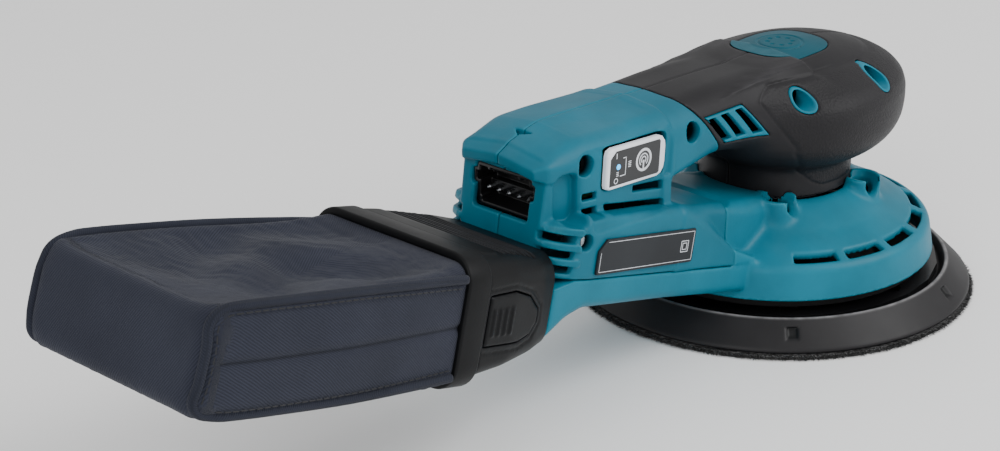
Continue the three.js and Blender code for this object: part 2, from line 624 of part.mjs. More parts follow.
function addSwitch() {
  const carrier = switchPrism(0, SWITCH.face, SWITCH.back);
  const window = new THREE.ExtrudeGeometry(
    polygon([[-13.2, -5.2], [8.8, -5.2], [9.6, -4.4], [9.6, 5.2], [-13.2, 5.2]]), { depth: 1, bevelEnabled: false });
  const placed = (geometry, y1) => geometry.rotateX(Math.PI / 2).translate(0, y1, 0).rotateY(SWITCH.pitch)
    .translate(SWITCH.x, 0, SWITCH.z);
  const pocket = solid(placed(window.clone(), SWITCH.face + 0.8));
  const ledHole = crossBar(LED.radius + GAP, -30, -10, LED.x, LED.z);
  addNode("switch_plate", cut(carrier, pocket, ledHole), white);
  const inlay = new THREE.ExtrudeGeometry(
    polygon([[-12.9, -4.9], [8.6, -4.9], [9.3, -4.2], [9.3, 4.9], [-12.9, 4.9]]), { depth: 0.4, bevelEnabled: false });
  addNode("switch_face", cut(solid(placed(inlay, SWITCH.face + 0.5)), ledHole), blackPlastic);
  addNode("led_lens", crossBar(LED.radius, SWITCH.face + 0.1, SWITCH.back + 1.4, LED.x, LED.z, 16), ledBlue);
  const board = block(BOARD.x, BOARD.y, BOARD.z);
  const clearance = SIDE_SCREWS.map(({ x, z, hole }) => crossBar(hole + 2.2, -50, 30, x, z));
  addNode("control_board", cut(board, ...clearance), boardGreen);
  addNode("tact_switch", block([-101, -95], [-16.4, -4.3], [79, 85]), blackPlastic);
  addNode("capacitor_bank", block([-124, -100], [-2.1, 12], [70, 82]), darkSteel);
}

function addLabel() {
  const [l, h] = [LABEL.length / 2, LABEL.height / 2];
  const outline = polygon([[-l, -h], [l, -h], [l, h], [-l + 4, h], [-l, h - 4]]);
  const plate = new THREE.ExtrudeGeometry(outline, { depth: 0.5, bevelEnabled: false });
  plate.rotateX(Math.PI / 2).rotateY(LABEL.pitch).translate(LABEL.x, -28.65, LABEL.z);
  addNode("rating_plate", solid(plate), labelGrey);
}

// ---------- motor and drive ----------

function addMotor() {
  addNode("motor_can", turned([[22.9, 50.5], [24.8, 50.5], [24.8, 75.6], [19, 75.6], [19, 73.8],
    [22.9, 73.8], [22.9, 50.5]]), darkSteel);
  const core = ringOf(MOTOR.bore, MOTOR.core, MOTOR.low, MOTOR.high);
  const slots = Array.from({ length: MOTOR.slots }, (_, k) =>
    post(MOTOR.slot, MOTOR.low - 2, MOTOR.high + 2, ...polar(MOTOR.slotRadius, (360 * k) / MOTOR.slots), 12),
  );
  addNode("stator", cut(core, ...slots), copper);
  const bracketRadius = MOTOR_RADIUS - GAP;
  addNode("motor_bracket", turned([[11.4, 41.6], [bracketRadius, 41.6], [bracketRadius, 50.2], [22, 50.2], [22, 44.4],
    [11.4, 44.4], [11.4, 41.6]]), aluminium);
  addNode("lower_bearing", ringOf(SHAFT_BORE, BEARINGS.outer, BEARINGS.low, BEARINGS.high), steel);
  addNode("upper_bearing", ringOf(SHAFT_BORE, BEARINGS.topOuter, BEARINGS.topLow, BEARINGS.topHigh), steel);
  addNode("bearing_cap", ringOf(BEARINGS.topOuter + GAP, 18.4, 73.8, 79.8), aluminium);
  addNode("rotor", ringOf(SHAFT_BORE, MOTOR.rotor, MOTOR.low, MOTOR.high), darkSteel);
  addNode("motor_shaft", post(SHAFT.radius, SHAFT.low, SHAFT.high), steel);
  addNode("fan", fanShape(), blackPlastic);
}

function fanShape() {
  const disc = ringOf(SHAFT_BORE, FAN.radius, FAN.low, FAN.disc);
  const hub = ringOf(SHAFT_BORE, FAN.hub, FAN.disc - 0.4, FAN.high);
  const blades = Array.from({ length: FAN.blades }, (_, k) => {
    const blade = new THREE.BoxGeometry(20, 1.2, 3).rotateZ(FAN.twist).translate(19, 0, 35.6);
    return solid(blade.rotateZ((2 * Math.PI * k) / FAN.blades));
  });
  return cut(join(disc, hub, ...blades), post(SHAFT_BORE, FAN.low - 3, FAN.high + 4));
}

function addEccentric() {
  const [ex, ey] = [ORBIT_OFFSET * Math.cos(REST_ANGLE), ORBIT_OFFSET * Math.sin(REST_ANGLE)];
  const hub = post(WEIGHT.hub, WEIGHT.low, WEIGHT.high, 0, 0, ROUND);
  const lobe = ringOf(WEIGHT.hub - 0.5, WEIGHT.lobe, WEIGHT.low + 3, WEIGHT.high).intersect(
    block([-60, -4], [-60, 60], [0, 60]).rotate([0, 0, (REST_ANGLE * 180) / Math.PI]),
  );
  const stub = post(6, WEIGHT.high - 0.6, FAN.low - GAP);
  const weight = cut(join(hub, lobe, stub), post(WEIGHT.pocket, 10, 29.6, ex, ey, ROUND), post(SHAFT_BORE, 28, 40));
  addNode("counterweight", weight, darkSteel);
  addNode("drive_collar", post(SHAFT.radius, 29.9, SHAFT.low - GAP), steel);
  const bearing = ringOf(SPINDLE.radius + GAP, WEIGHT.pocket - GAP, 20.4, SPINDLE.high).translate([ex, ey, 0]);
  addNode("pad_bearing", bearing, steel);
  const flange = post(SPINDLE.flange, SPINDLE.low, 19.8);
  const spindle = cut(join(post(SPINDLE.radius, SPINDLE.low + GAP, SPINDLE.high), flange), post(SPINDLE.bore, 10, 26));
  addNode("pad_spindle", spindle.translate([ex, ey, 0]), steel);
  return [ex, ey];
}

// ---------- sanding pad ----------

function dustHoles(low, high) {
  return DUST_HOLE_RINGS.flatMap(({ count, radius }) =>
    Array.from({ length: count }, (_, k) => post(DUST_HOLE_RADIUS, low, high, ...polar(radius, (360 * k) / count), 8)),
  );
}

function addPad([ex, ey]) {
  const centre = [ex, ey, 0];
  const holes = dustHoles(-5, 30);
  addNode("hook_sheet", cut(post(SHEET_RADIUS, 0, SHEET_TOP, 0, 0, WIDE_ROUND), ...holes).translate(centre), hookLoop);
  const foam = turned([[0, SHEET_TOP + GAP], [74.6, SHEET_TOP + GAP], [75, 3.4], [RIM_TOP_RADIUS, RIM_TOP],
    [RIM_TOP_RADIUS - 1, RIM_TOP], [63.4, FOAM_TOP], [0, FOAM_TOP], [0, SHEET_TOP + GAP]], WIDE_ROUND);
  addNode("foam_pad", cut(foam, ...holes).translate(centre), padRubber);
  const plate = turned([[9.6, FOAM_TOP + GAP], [PLATE_RADIUS, FOAM_TOP + GAP], [PLATE_RADIUS, PLATE_TOP], [15, PLATE_TOP],
    [14, PAD_HUB_TOP], [4.4, PAD_HUB_TOP], [4.4, 11.6], [9.6, 11.6], [9.6, FOAM_TOP + GAP]]);
  addNode("pad_backing_plate", cut(plate, ...holes).translate(centre), blackPlastic);
  const hex = post(STUD.hexRadius, FOAM_TOP + GAP + 0.1, STUD.hexTop, 0, 0, 6);
  const stud = join(hex, post(STUD.radius, STUD.hexTop - GAP, STUD.top));
  addNode("pad_stud", stud.translate(centre), steel);
  addNode("brake_ring", turned([[40, 13.2], [44, 11.6], [46, 11.6], [47, 13.2], [57.2, 13.2], [57.2, 15.6],
    [42, 15.6], [40, 13.2]], WIDE_ROUND), padRubber);
}

// ---------- dust adapter, latches, collar and bag ----------

function latchWindow(side, shrink) {
  const y = side < 0 ? [-45, -24] : [24, 45];
  return ductBlock([LATCH.u0 + shrink, LATCH.u1 - shrink], y, [LATCH.v0 + shrink, LATCH.v1 - shrink]);
}

function extended(sections, ends) {
  const [first, last] = [sections[0], sections.at(-1)];
  return [{ ...first, u: first.u - ends }, ...sections.slice(1, -1), { ...last, u: last.u + ends }];
}

function addDustBag() {
  const passage = ductLoft(extended(ADAPTER_SECTIONS, 2), WALL);
  const windows = [latchWindow(-1, 0), latchWindow(1, 0)];
  addNode("dust_adapter", cut(ductLoft(ADAPTER_SECTIONS), passage, ...windows), blackPlastic);
  const skin = cut(ductLoft(ADAPTER_SECTIONS, -0.3), ductLoft(extended(ADAPTER_SECTIONS, 2), WALL - 0.2));
  addNode("bag_latch_right", largest(skin.intersect(latchWindow(-1, GAP))), blackPlastic);
  addNode("bag_latch_left", largest(skin.intersect(latchWindow(1, GAP))), blackPlastic);
  const collar = [COLLAR_U, COLLAR_U + COLLAR.length].map((u) => ({ ...COLLAR, u }));
  addNode("bag_collar", cut(ductLoft(collar), ductLoft(extended(collar, 2), COLLAR.wall)), blackPlastic);
  const inside = BAG_SECTIONS.map((s, i) => {
    if (i === 0) return { ...s, u: s.u - 2 };
    return i === BAG_SECTIONS.length - 1 ? { ...s, u: s.u - BAG_CLOTH } : s;
  });
  addNode("dust_bag", cut(ductLoft(BAG_SECTIONS), ductLoft(inside, BAG_CLOTH)), bagCloth);
}

addHousing();
addBadge();
addSideScrews();
addShroud();
addInlet();
addSwitch();
addLabel();
addMotor();
addPad(addEccentric());
addDustBag();

export default sander;
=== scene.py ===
"""Random orbital sander: the finished surface, cloth and material of every piece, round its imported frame.

Shapes are worked out in millimetres in the row frame (+X forward, +Z up, origin on the motor axis in the
sanding plane) and become metres where a mesh is made. Moulded shells are the skin of a distance field,
because their blended scoops, pockets and slots are not a function of two parameters; all other pieces are
profiles carried along a path or round an axis.
"""

import logging
import math
from dataclasses import dataclass, field
from enum import Enum
from typing import Callable, Sequence

import bpy
import numpy as np
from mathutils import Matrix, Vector


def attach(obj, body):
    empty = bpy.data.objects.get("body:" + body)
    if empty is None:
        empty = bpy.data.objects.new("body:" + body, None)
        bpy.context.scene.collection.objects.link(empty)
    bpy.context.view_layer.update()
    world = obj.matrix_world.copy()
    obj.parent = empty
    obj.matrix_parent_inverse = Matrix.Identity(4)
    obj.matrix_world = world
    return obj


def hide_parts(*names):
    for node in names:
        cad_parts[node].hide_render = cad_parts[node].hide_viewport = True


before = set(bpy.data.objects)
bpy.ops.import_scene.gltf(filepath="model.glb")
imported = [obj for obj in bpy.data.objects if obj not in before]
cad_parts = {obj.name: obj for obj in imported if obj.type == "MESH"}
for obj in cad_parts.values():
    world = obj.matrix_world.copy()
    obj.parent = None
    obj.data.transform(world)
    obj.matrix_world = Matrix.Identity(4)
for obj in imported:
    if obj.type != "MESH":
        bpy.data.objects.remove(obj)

Array = np.ndarray
Placing = Callable[[Array, Array, Array], Array]
Piece = bpy.types.Object
Node = bpy.types.Node
Socket = bpy.types.NodeSocket
log = logging.getLogger("sander")

MM = 0.001
# Sizes in millimetres: the gap between shells, their wall, and the pitch of the duct and the bag.
GAP, WALL, PITCH = 0.3, 2.4, math.radians(14)
JOINT_X, JOINT_Z, JOINT_LEAN = -77.9, 95.1, math.radians(38.7)
SHROUD_FRONT = -59.9
SOCKET_Z, SOCKET_WING_Z = 77.65, 80.2
SWITCH_X, SWITCH_Z, SWITCH_LEAN = -108, 82.8, math.radians(4)
ORBIT_X, ORBIT_Y = 1.5 * math.cos(math.radians(36)), 1.5 * math.sin(math.radians(36))
# Spacings of the lattices that shells are skinned on.
FINE, MEDIUM, COARSE = 0.52, 0.565, 0.8


class Side(Enum):
    """The two flanks, by the sign of Y."""

    RIGHT = -1
    LEFT = 1


class Body(Enum):
    """CAD bodies that pieces ride on."""

    HOUSING = "housing"
    PAD = "pad"
    SWITCH = "switch"
    BAG = "bag_unit"
    LATCH_RIGHT = "latch_right"
    LATCH_LEFT = "latch_left"


# ---------- node trees ----------


class Tree:
    """Shorthand for building a shader node tree."""

    def __init__(self, tree: bpy.types.NodeTree) -> None:
        """Wraps a node tree."""
        self.tree = tree

    def add(self, kind: str, **settings: object) -> Node:
        """Adds a shader node.

        Args:
            kind: the node's type name without its ShaderNode prefix.
            settings: attributes to set on it.
        Returns:
            The new node.
        """
        node = self.tree.nodes.new("ShaderNode" + kind)
        for name, value in settings.items():
            setattr(node, name, value)
        return node

    def feed(self, socket: Socket, value: object) -> None:
        """Links value to socket if it is a socket, and sets it otherwise."""
        if isinstance(value, bpy.types.NodeSocket):
            self.tree.links.new(value, socket)
        else:
            socket.default_value = value

    def math(self, operation: str, a: object, b: object = 0.0, clamp: bool = False) -> Socket:
        """Adds a Math node.

        Args:
            operation: the node's operation.
            a: first number or socket.
            b: second number or socket.
            clamp: whether the result stays between nought and one.
        Returns:
            The result's socket.
        """
        node = self.add("Math", operation=operation, use_clamp=clamp)
        self.feed(node.inputs[0], a)
        self.feed(node.inputs[1], b)
        return node.outputs[0]

    def ramp(self, value: Socket, low: float, high: float, to_low: float = 0.0,
             to_high: float = 1.0) -> Socket:
        """Maps a value from one range to another, clamped.

        Args:
            value: what is mapped.
            low: start of its own range.
            high: end of its own range.
            to_low: what low becomes.
            to_high: what high becomes.
        Returns:
            The result's socket.
        """
        node = self.add("MapRange", clamp=True)
        for socket, number in zip(node.inputs, (value, low, high, to_low, to_high)):
            self.feed(socket, number)
        return node.outputs[0]

    def mix(self, share: object, a: object, b: object) -> Socket:
        """Adds a colour mix.

        Args:
            share: how far it goes from a to b.
            a: colour or socket at nought.
            b: colour or socket at one.
        Returns:
            The result's socket.
        """
        node = self.add("Mix", data_type="RGBA")
        self.feed(node.inputs[0], share)
        self.feed(node.inputs[6], a)
        self.feed(node.inputs[7], b)
        return node.outputs[2]

    def noise(self, place: Socket, scale: object, detail: float = 3.0, rough: float = 0.5) -> Socket:
        """Adds a noise pattern.

        Args:
            place: coordinates it is read at.
            scale: cells in a metre.
            detail: octaves of finer noise.
            rough: share that each octave keeps.
        Returns:
            The value's socket.
        """
        node = self.add("TexNoise")
        self.feed(node.inputs["Vector"], place)
        self.feed(node.inputs["Scale"], scale)
        node.inputs["Detail"].default_value = detail
        node.inputs["Roughness"].default_value = rough
        return node.outputs[0]

    def attribute(self, name: str) -> Socket:
        """Value of the piece's own vertex attribute, nought where it has none."""
        return self.add("Attribute", attribute_name=name).outputs["Fac"]


def new_group(name: str, inputs: dict[str, float], outputs: Sequence[str]) -> tuple[Tree, dict, dict]:
    """Starts a shader node group with float sockets and one vector input named Place.

    Args:
        name: the group's name.
        inputs: float inputs and their usual values.
        outputs: float outputs.
    Returns:
        The tree, its input sockets and its output sockets by name.
    """
    group = bpy.data.node_groups.new(name, "ShaderNodeTree")
    group.interface.new_socket("Place", in_out="INPUT", socket_type="NodeSocketVector")
    for label, value in inputs.items():
        group.interface.new_socket(label, in_out="INPUT", socket_type="NodeSocketFloat").default_value = value
    for label in outputs:
        group.interface.new_socket(label, in_out="OUTPUT", socket_type="NodeSocketFloat")
    start, end = group.nodes.new("NodeGroupInput"), group.nodes.new("NodeGroupOutput")
    return Tree(group), start.outputs, end.inputs


def moulded_grain() -> bpy.types.NodeTree:
    """Makes spark-eroded grain: fine noise and 0.7 of a coarser cell distance, as a height and a tone.

    Returns:
        The group's tree.
    """
    tree, start, end = new_group("moulded_grain", {"Scale": 1500.0, "Amount": 1.0}, ("Height", "Tone"))
    fine = tree.noise(start["Place"], start["Scale"], 2.0, 0.6)
    pebbles = tree.add("TexVoronoi")
    tree.feed(pebbles.inputs["Vector"], start["Place"])
    tree.feed(pebbles.inputs["Scale"], tree.math("MULTIPLY", start["Scale"], 0.62))
    height = tree.math("ADD", fine, tree.math("MULTIPLY", pebbles.outputs["Distance"], 0.7))
    tree.feed(end["Height"], tree.math("MULTIPLY", height, start["Amount"]))
    tree.feed(end["Tone"], tree.ramp(height, 0.4, 1.1))
    return tree.tree


def edge_wear_and_highlight() -> bpy.types.NodeTree:
    """Makes the mask of lightened convex edges, partly rubbed by use and partly a painted highlight: the
    skin's own edge attribute, broken up by noise.

    Returns:
        The group's tree.
    """
    tree, start, end = new_group("edge_wear_and_highlight", {"Amount": 0.5}, ("Mask",))
    edge_breakup = tree.ramp(tree.noise(start["Place"], 260.0, 4.0), 0.25, 0.75, 0.35, 1.0)
    edge = tree.math("MULTIPLY", tree.attribute("edge"), edge_breakup)
    tree.feed(end["Mask"], tree.math("MULTIPLY", edge, start["Amount"], clamp=True))
    return tree.tree


def dust_film() -> bpy.types.NodeTree:
    """Makes the mask of fine dust: soft patches of noise times how far the face looks up.

    Returns:
        The group's tree.
    """
    tree, start, end = new_group("dust_film", {"Amount": 0.2}, ("Mask",))
    split = tree.add("SeparateXYZ")
    tree.feed(split.inputs[0], tree.add("NewGeometry").outputs["Normal"])
    patches = tree.ramp(tree.noise(start["Place"], 55.0, 5.0, 0.6), 0.42, 0.7)
    up = tree.ramp(split.outputs["Z"], 0.2, 1.0)
    lying = tree.math("MULTIPLY", patches, up)
    tree.feed(end["Mask"], tree.math("MULTIPLY", lying, start["Amount"], clamp=True))
    return tree.tree


def twill_weave() -> bpy.types.NodeTree:
    """Makes twill: the sine of a slanting place for ribs, a finer sine across them, and fuzz on top.

    Returns:
        The group's tree.
    """
    tree, start, end = new_group("twill_weave", {"Pitch": 1.0}, ("Height", "Tone"))
    split = tree.add("SeparateXYZ")
    tree.feed(split.inputs[0], start["Place"])
    slant = tree.math("ADD", split.outputs["X"], tree.math("MULTIPLY", split.outputs["Y"], 0.62))
    wobble = tree.math("MULTIPLY", tree.noise(start["Place"], 90.0, 3.0), 0.0011)
    turns = tree.math("DIVIDE", tree.math("ADD", slant, wobble), tree.math("MULTIPLY", start["Pitch"], MM))
    rib = tree.math("ABSOLUTE", tree.math("SINE", tree.math("MULTIPLY", turns, math.pi)))
    across = tree.math("DIVIDE", split.outputs["Y"], tree.math("MULTIPLY", start["Pitch"], 0.5 * MM))
    yarn = tree.math("ABSOLUTE", tree.math("SINE", tree.math("MULTIPLY", across, math.pi)))
    fuzz = tree.noise(start["Place"], 2600.0, 3.0, 0.7)
    woven = tree.math("ADD", rib, tree.math("MULTIPLY", yarn, 0.25))
    height = tree.math("ADD", woven, tree.math("MULTIPLY", fuzz, 0.5))
    tree.feed(end["Height"], height)
    tree.feed(end["Tone"], tree.ramp(height, 0.25, 1.5))
    return tree.tree


def machined_lines() -> bpy.types.NodeTree:
    """Makes fine turning marks: noise squeezed along Y into streaks, as a height.

    Returns:
        The group's tree.
    """
    tree, start, end = new_group("machined_lines", {"Scale": 2400.0}, ("Height",))
    stretch = tree.add("Mapping")
    tree.feed(stretch.inputs["Vector"], start["Place"])
    stretch.inputs["Scale"].default_value = (1.0, 0.12, 1.0)
    tree.feed(end["Height"], tree.noise(stretch.outputs[0], start["Scale"], 2.0))
    return tree.tree


GROUPS = {
    make.__name__: make() for make in (moulded_grain, edge_wear_and_highlight, dust_film, twill_weave, machined_lines)
}


def colour(code: str) -> tuple[float, float, float, float]:
    """Turns a display colour into a linear one.

    Args:
        code: six hexadecimal digits.
    Returns:
        Red, green, blue and a full alpha.
    """
    parts = np.array([int(code[i : i + 2], 16) / 255 for i in (0, 2, 4)])
    linear = np.where(parts <= 0.04045, parts / 12.92, ((parts + 0.055) / 1.055) ** 2.4)
    return (*linear.tolist(), 1.0)


DUST_COLOUR = (0.42, 0.40, 0.37, 1.0)
# Near-black painted as shade into hollows and down the sides of openings.
HOLLOW_SHADE_COLOUR = (0.002, 0.0025, 0.003, 1.0)


@dataclass(frozen=True)
class Finish:
    """A surface finish: its colour, its gloss, and how strong each shared effect is on it."""

    name: str
    code: str
    slot: str
    rough: float = 0.45
    metal: float = 0.0
    grain: float = 0.25
    grain_scale: float = 1500.0
    relief: float = 0.00008
    # Strength and colour of the lightened convex edges: rubbed edges, and on the pad rim a painted highlight
    # line.
    wear_and_highlight: float = 0.0
    worn_and_lit: str = "7fb4bf"
    dust: float = 0.0
    coat: float = 0.0
    level: float = 0.5
    weave: float = 0.0
    sheen: float = 0.0
    glow: float = 0.0

    def use(self, tree: Tree, group: str, place: Socket, **values: float) -> Node:
        """Places a shared effect in this finish's material.

        Args:
            tree: the material's tree.
            group: the effect's name.
            place: coordinates it is read at.
            values: its float inputs.
        Returns:
            The group's node.
        """
        node = tree.add("Group", node_tree=GROUPS[group])
        tree.feed(node.inputs["Place"], place)
        for label, value in values.items():
            node.inputs[label].default_value = value
        return node

    def shade(self, share: float, lift: float = 0.0) -> tuple[float, float, float, float]:
        """This finish's linear colour times share, plus lift, no brighter than white."""
        return (*(min(c * share + lift, 1.0) for c in colour(self.code)[:3]), 1.0)

    def fine_pattern(self, tree: Tree, place: Socket) -> Node:
        """Places the finest pattern: a weave on the piece's own map, turning marks on metal, or grain.

        Args:
            tree: the material's tree.
            place: Object coordinates.
        Returns:
            The effect's node, with a Height.
        """
        if self.weave:
            return self.use(tree, "twill_weave", tree.add("UVMap").outputs[0], Pitch=self.weave)
        if self.metal > 0.5:
            return self.use(tree, "machined_lines", place, Scale=self.grain_scale)
        return self.use(tree, "moulded_grain", place, Scale=self.grain_scale, Amount=1.0)

    def tint(self, tree: Tree, place: Socket, fine: Node, dust: Socket) -> Socket:
        """Colours the body, then its rubbed edges with a painted edge highlight, its dust, and painted shade
        in its deep hollows, each over the one before.

        Args:
            tree: the material's tree.
            place: Object coordinates.
            fine: the finest pattern's node.
            dust: mask of the dust.
        Returns:
            The colour's socket.
        """
        patches = tree.ramp(tree.noise(place, 38.0, 4.0), 0.3, 0.7)
        body = tree.mix(patches, self.shade(0.82), self.shade(1.12, 0.002))
        if self.weave:
            body = tree.mix(fine.outputs["Tone"], self.shade(0.5), body)
        # Convex edges go to the lighter edge colour: rubbed edges, and on the pad rim a painted highlight.
        wear_and_highlight = self.use(tree, "edge_wear_and_highlight", place, Amount=self.wear_and_highlight).outputs["Mask"]
        body = tree.mix(wear_and_highlight, body, colour(self.worn_and_lit))
        body = tree.mix(dust, body, DUST_COLOUR)
        # Painted shade: the deeper a point lies by its depth attribute, the nearer it goes to near-black.
        return tree.mix(tree.ramp(tree.attribute("depth"), 1.2, 3.2, 0.0, 0.93), body, HOLLOW_SHADE_COLOUR)

    def set_gloss(self, shader: Node) -> None:
        """Sets what is the same all over the surface on the shader's own sockets.

        Args:
            shader: the Principled BSDF node.
        """
        for label, value in (("Metallic", self.metal), ("Coat Weight", self.coat), ("Coat Roughness", 0.12),
                             ("Specular IOR Level", self.level), ("Sheen Weight", self.sheen),
                             ("Sheen Roughness", 0.4)):
            shader.inputs[label].default_value = value
        if self.glow:
            shader.inputs["Emission Color"].default_value = colour(self.code)
            shader.inputs["Emission Strength"].default_value = self.glow

    def material(self) -> bpy.types.Material:
        """Builds the material, or finds it if it is already there.

        Returns:
            The material, on Object coordinates, or on the piece's own map where it is woven.
        """
        if self.name in bpy.data.materials:
            return bpy.data.materials[self.name]
        made = bpy.data.materials.new(self.name)
        made.use_nodes = True
        tree = Tree(made.node_tree)
        shader = made.node_tree.nodes["Principled BSDF"]
        place = tree.add("TexCoord").outputs["Object"]
        fine = self.fine_pattern(tree, place)
        dust = self.use(tree, "dust_film", place, Amount=self.dust).outputs["Mask"]
        tree.feed(shader.inputs["Base Color"], self.tint(tree, place, fine, dust))
        smudges = tree.noise(place, 24.0, 5.0, 0.65)
        rough = tree.ramp(smudges, 0.25, 0.75, self.rough - 0.05, self.rough + 0.07)
        dulled = tree.math("ADD", rough, tree.math("MULTIPLY", dust, 0.3), clamp=True)
        tree.feed(shader.inputs["Roughness"], dulled)
        self.set_gloss(shader)
        bump = tree.add("Bump")
        bump.inputs["Distance"].default_value = self.relief
        textured = tree.math("MULTIPLY", tree.attribute("grain"), 0.75)
        tree.feed(bump.inputs["Strength"], tree.math("ADD", textured, self.grain, clamp=True))
        tree.feed(bump.inputs["Height"], fine.outputs["Height"])
        tree.feed(shader.inputs["Normal"], bump.outputs[0])
        return made

    def dress(self, piece: Piece) -> None:
        """Puts this finish's material on a piece, in place of any it had.

        Args:
            piece: the piece.
        """
        piece.data.materials.clear()
        piece.data.materials.append(self.material())


TEAL = Finish("satin_teal", "006176", "teal_shell", rough=0.46, wear_and_highlight=0.34, worn_and_lit="2f9db0", level=0.22,
              dust=0.03)
TEAL_DECK = Finish("deck_teal", "006b81", "teal_deck", rough=0.44, wear_and_highlight=0.34, worn_and_lit="2f9db0", level=0.22,
                   dust=0.03)
BADGE_TEAL = Finish("badge_teal", "064957", "teal_deck", rough=0.5, grain=0.05, wear_and_highlight=0.1, level=0.15)
GRIP = Finish("grip_elastomer", "161518", "grip_black", rough=0.5, grain=0.10, grain_scale=1700.0,
              relief=0.00022, wear_and_highlight=0.16, worn_and_lit="5a585c", level=0.26)
BLACK = Finish("black_moulding", "08090b", "black_plastic", wear_and_highlight=0.3, worn_and_lit="3f4147", level=0.15)
INNER_BLACK = Finish("inner_black", "0b0b0d", "black_plastic", rough=0.32, wear_and_highlight=0.12, worn_and_lit="3a3c40")
# Its strong, pale edge colour paints a highlight line along the pad rim's top edge.
RUBBER = Finish("moulded_rubber", "1b1a1c", "pad_rubber", rough=0.48, grain=0.12, grain_scale=700.0, wear_and_highlight=0.9,
                worn_and_lit="8d8b8c", dust=0.01, level=0.25)
PILE = Finish("hook_pile", "0d0d0e", "hook_loop", rough=0.9, grain=1.0, grain_scale=900.0, relief=0.0008,
              sheen=0.25)
CLOTH = Finish("bag_twill", "30333f", "bag_cloth", rough=0.9, grain=0.7, relief=0.00018, level=0.15,
               weave=0.92, sheen=0.08)
TAPE = Finish("binding_tape", "2b2e39", "bag_cloth", rough=0.9, grain=0.6, relief=0.00018, level=0.15,
              weave=0.8, sheen=0.06)
THREAD = Finish("thread", "15161a", "bag_cloth", rough=0.7)
STEEL = Finish("bright_steel", "b9bcc0", "steel", rough=0.28, metal=1.0, grain=0.2)
BLACK_SCREW = Finish("blackened_steel", "0d0d0e", "steel", rough=0.5, metal=1.0, grain=0.3)
BRAKE = Finish("brake_rubber", "0a0a0b", "pad_rubber", rough=0.6, grain=0.3, level=0.2)
DARK_STEEL = Finish("oiled_steel", "55585c", "dark_steel", rough=0.38, metal=1.0)
COPPER = Finish("winding_copper", "a4572d", "copper", rough=0.35, metal=1.0)
ALUMINIUM = Finish("cast_aluminium", "a9abb0", "aluminium", metal=1.0, grain=0.4)
BOARD = Finish("solder_mask", "14532d", "board", rough=0.4, dust=0.05)
WHITE = Finish("gloss_white", "e4e7ee", "white_plastic", rough=0.3, grain=0.04)
FACE = Finish("printed_face", "16171a", "black_plastic", rough=0.33, grain=0.05)
MARKS = Finish("printed_marks", "d5d8de", "white_plastic", rough=0.4, grain=0.0)
LABEL = Finish("label_film", "1e2125", "label", rough=0.4, grain=0.05, wear_and_highlight=0.1, worn_and_lit="6a6d72", level=0.25)
LED = Finish("led_lens", "35b6ff", "led", rough=0.15, grain=0.0, glow=1.6)


# ---------- meshes ----------


def mesh_piece(name: str, points: Array, faces: Array, smooth: bool = True) -> Piece:
    """Makes an object from points in millimetres and equal-sided faces.

    Args:
        name: what the piece is; the object's own name ends in _skin.
        points: (n, 3) places in the row frame.
        faces: (m, 3) or (m, 4) point numbers, seen anticlockwise from outside.
        smooth: whether its faces shade smoothly.
    Returns:
        The object, at the origin.
    """
    count, sides = faces.shape
    data = bpy.data.meshes.new(f"{name}_skin")
    data.vertices.add(len(points))
    data.vertices.foreach_set("co", (np.asarray(points, float) * MM).astype(np.float32).ravel())
    data.loops.add(count * sides)
    data.loops.foreach_set("vertex_index", np.ascontiguousarray(faces, dtype=np.int32).ravel())
    data.polygons.add(count)
    data.polygons.foreach_set("loop_start", np.arange(0, count * sides, sides, dtype=np.int32))
    data.polygons.foreach_set("use_smooth", np.full(count, smooth))
    data.update(calc_edges=True)
    data.validate()
    piece = bpy.data.objects.new(f"{name}_skin", data)
    bpy.context.scene.collection.objects.link(piece)
    return piece


def tube_faces(rows: int, count: int) -> Array:
    """Triangles of rings of points joined one to the next, with a fan over each end.

    Args:
        rows: how many rings there are, point by point from number nought.
        count: points in a ring; the two hubs of the fans come after the last ring.
    Returns:
        (n, 3) point numbers.
    """
    quads, k = ring_quads(rows, count), np.arange(count)
    after, top, low, high = (k + 1) % count, (rows - 1) * count, rows * count, rows * count + 1
    caps = [np.stack([after, k, np.full(count, low)], 1),
            np.stack([top + k, top + after, np.full(count, high)], 1)]
    return np.concatenate([quads[:, [0, 1, 2]], quads[:, [0, 2, 3]], *caps])


def ring_quads(rows: int, count: int) -> Array:
    """Joins rings of points, each closed in itself, one to the next.

    Args:
        rows: how many rings there are.
        count: points in a ring.
    Returns:
        (n, 4) point numbers.
    """
    index = np.arange(rows * count).reshape(rows, count)
    ring, after = index[:-1], index[1:]
    return np.stack([ring, np.roll(ring, -1, 1), np.roll(after, -1, 1), after], -1).reshape(-1, 4)


def block_faces(count: int) -> Array:
    """Quads of many eight-cornered blocks: corners 0 to 3 go round one face and 4 to 7 round the other."""
    block = np.array([(3, 2, 1, 0), (4, 5, 6, 7), (0, 1, 5, 4), (1, 2, 6, 5), (2, 3, 7, 6), (3, 0, 4, 7)])
    return (block[None] + 8 * np.arange(count)[:, None, None]).reshape(-1, 4)


def outward(points: Array, faces: Array) -> Array:
    """Turns all faces over if the volume under their first three corners comes out negative.

    Args:
        points: (n, 3) places.
        faces: point numbers.
    Returns:
        The faces, seen anticlockwise from outside.
    """
    corners = points[faces]
    volume = (corners[:, 0] * np.cross(corners[:, 1], corners[:, 2])).sum()
    return faces if volume > 0 else faces[:, ::-1]


def unit(vectors: Array) -> Array:
    """Vectors scaled to a length of one."""
    return vectors / np.maximum(np.linalg.norm(vectors, axis=-1, keepdims=True), 1e-9)


def set_values(piece: Piece, name: str, values: Array) -> None:
    """Stores one number at each vertex of a piece under an attribute's name."""
    layer = piece.data.attributes.new(name, "FLOAT", "POINT")
    layer.data.foreach_set("value", np.asarray(values, np.float32).ravel())


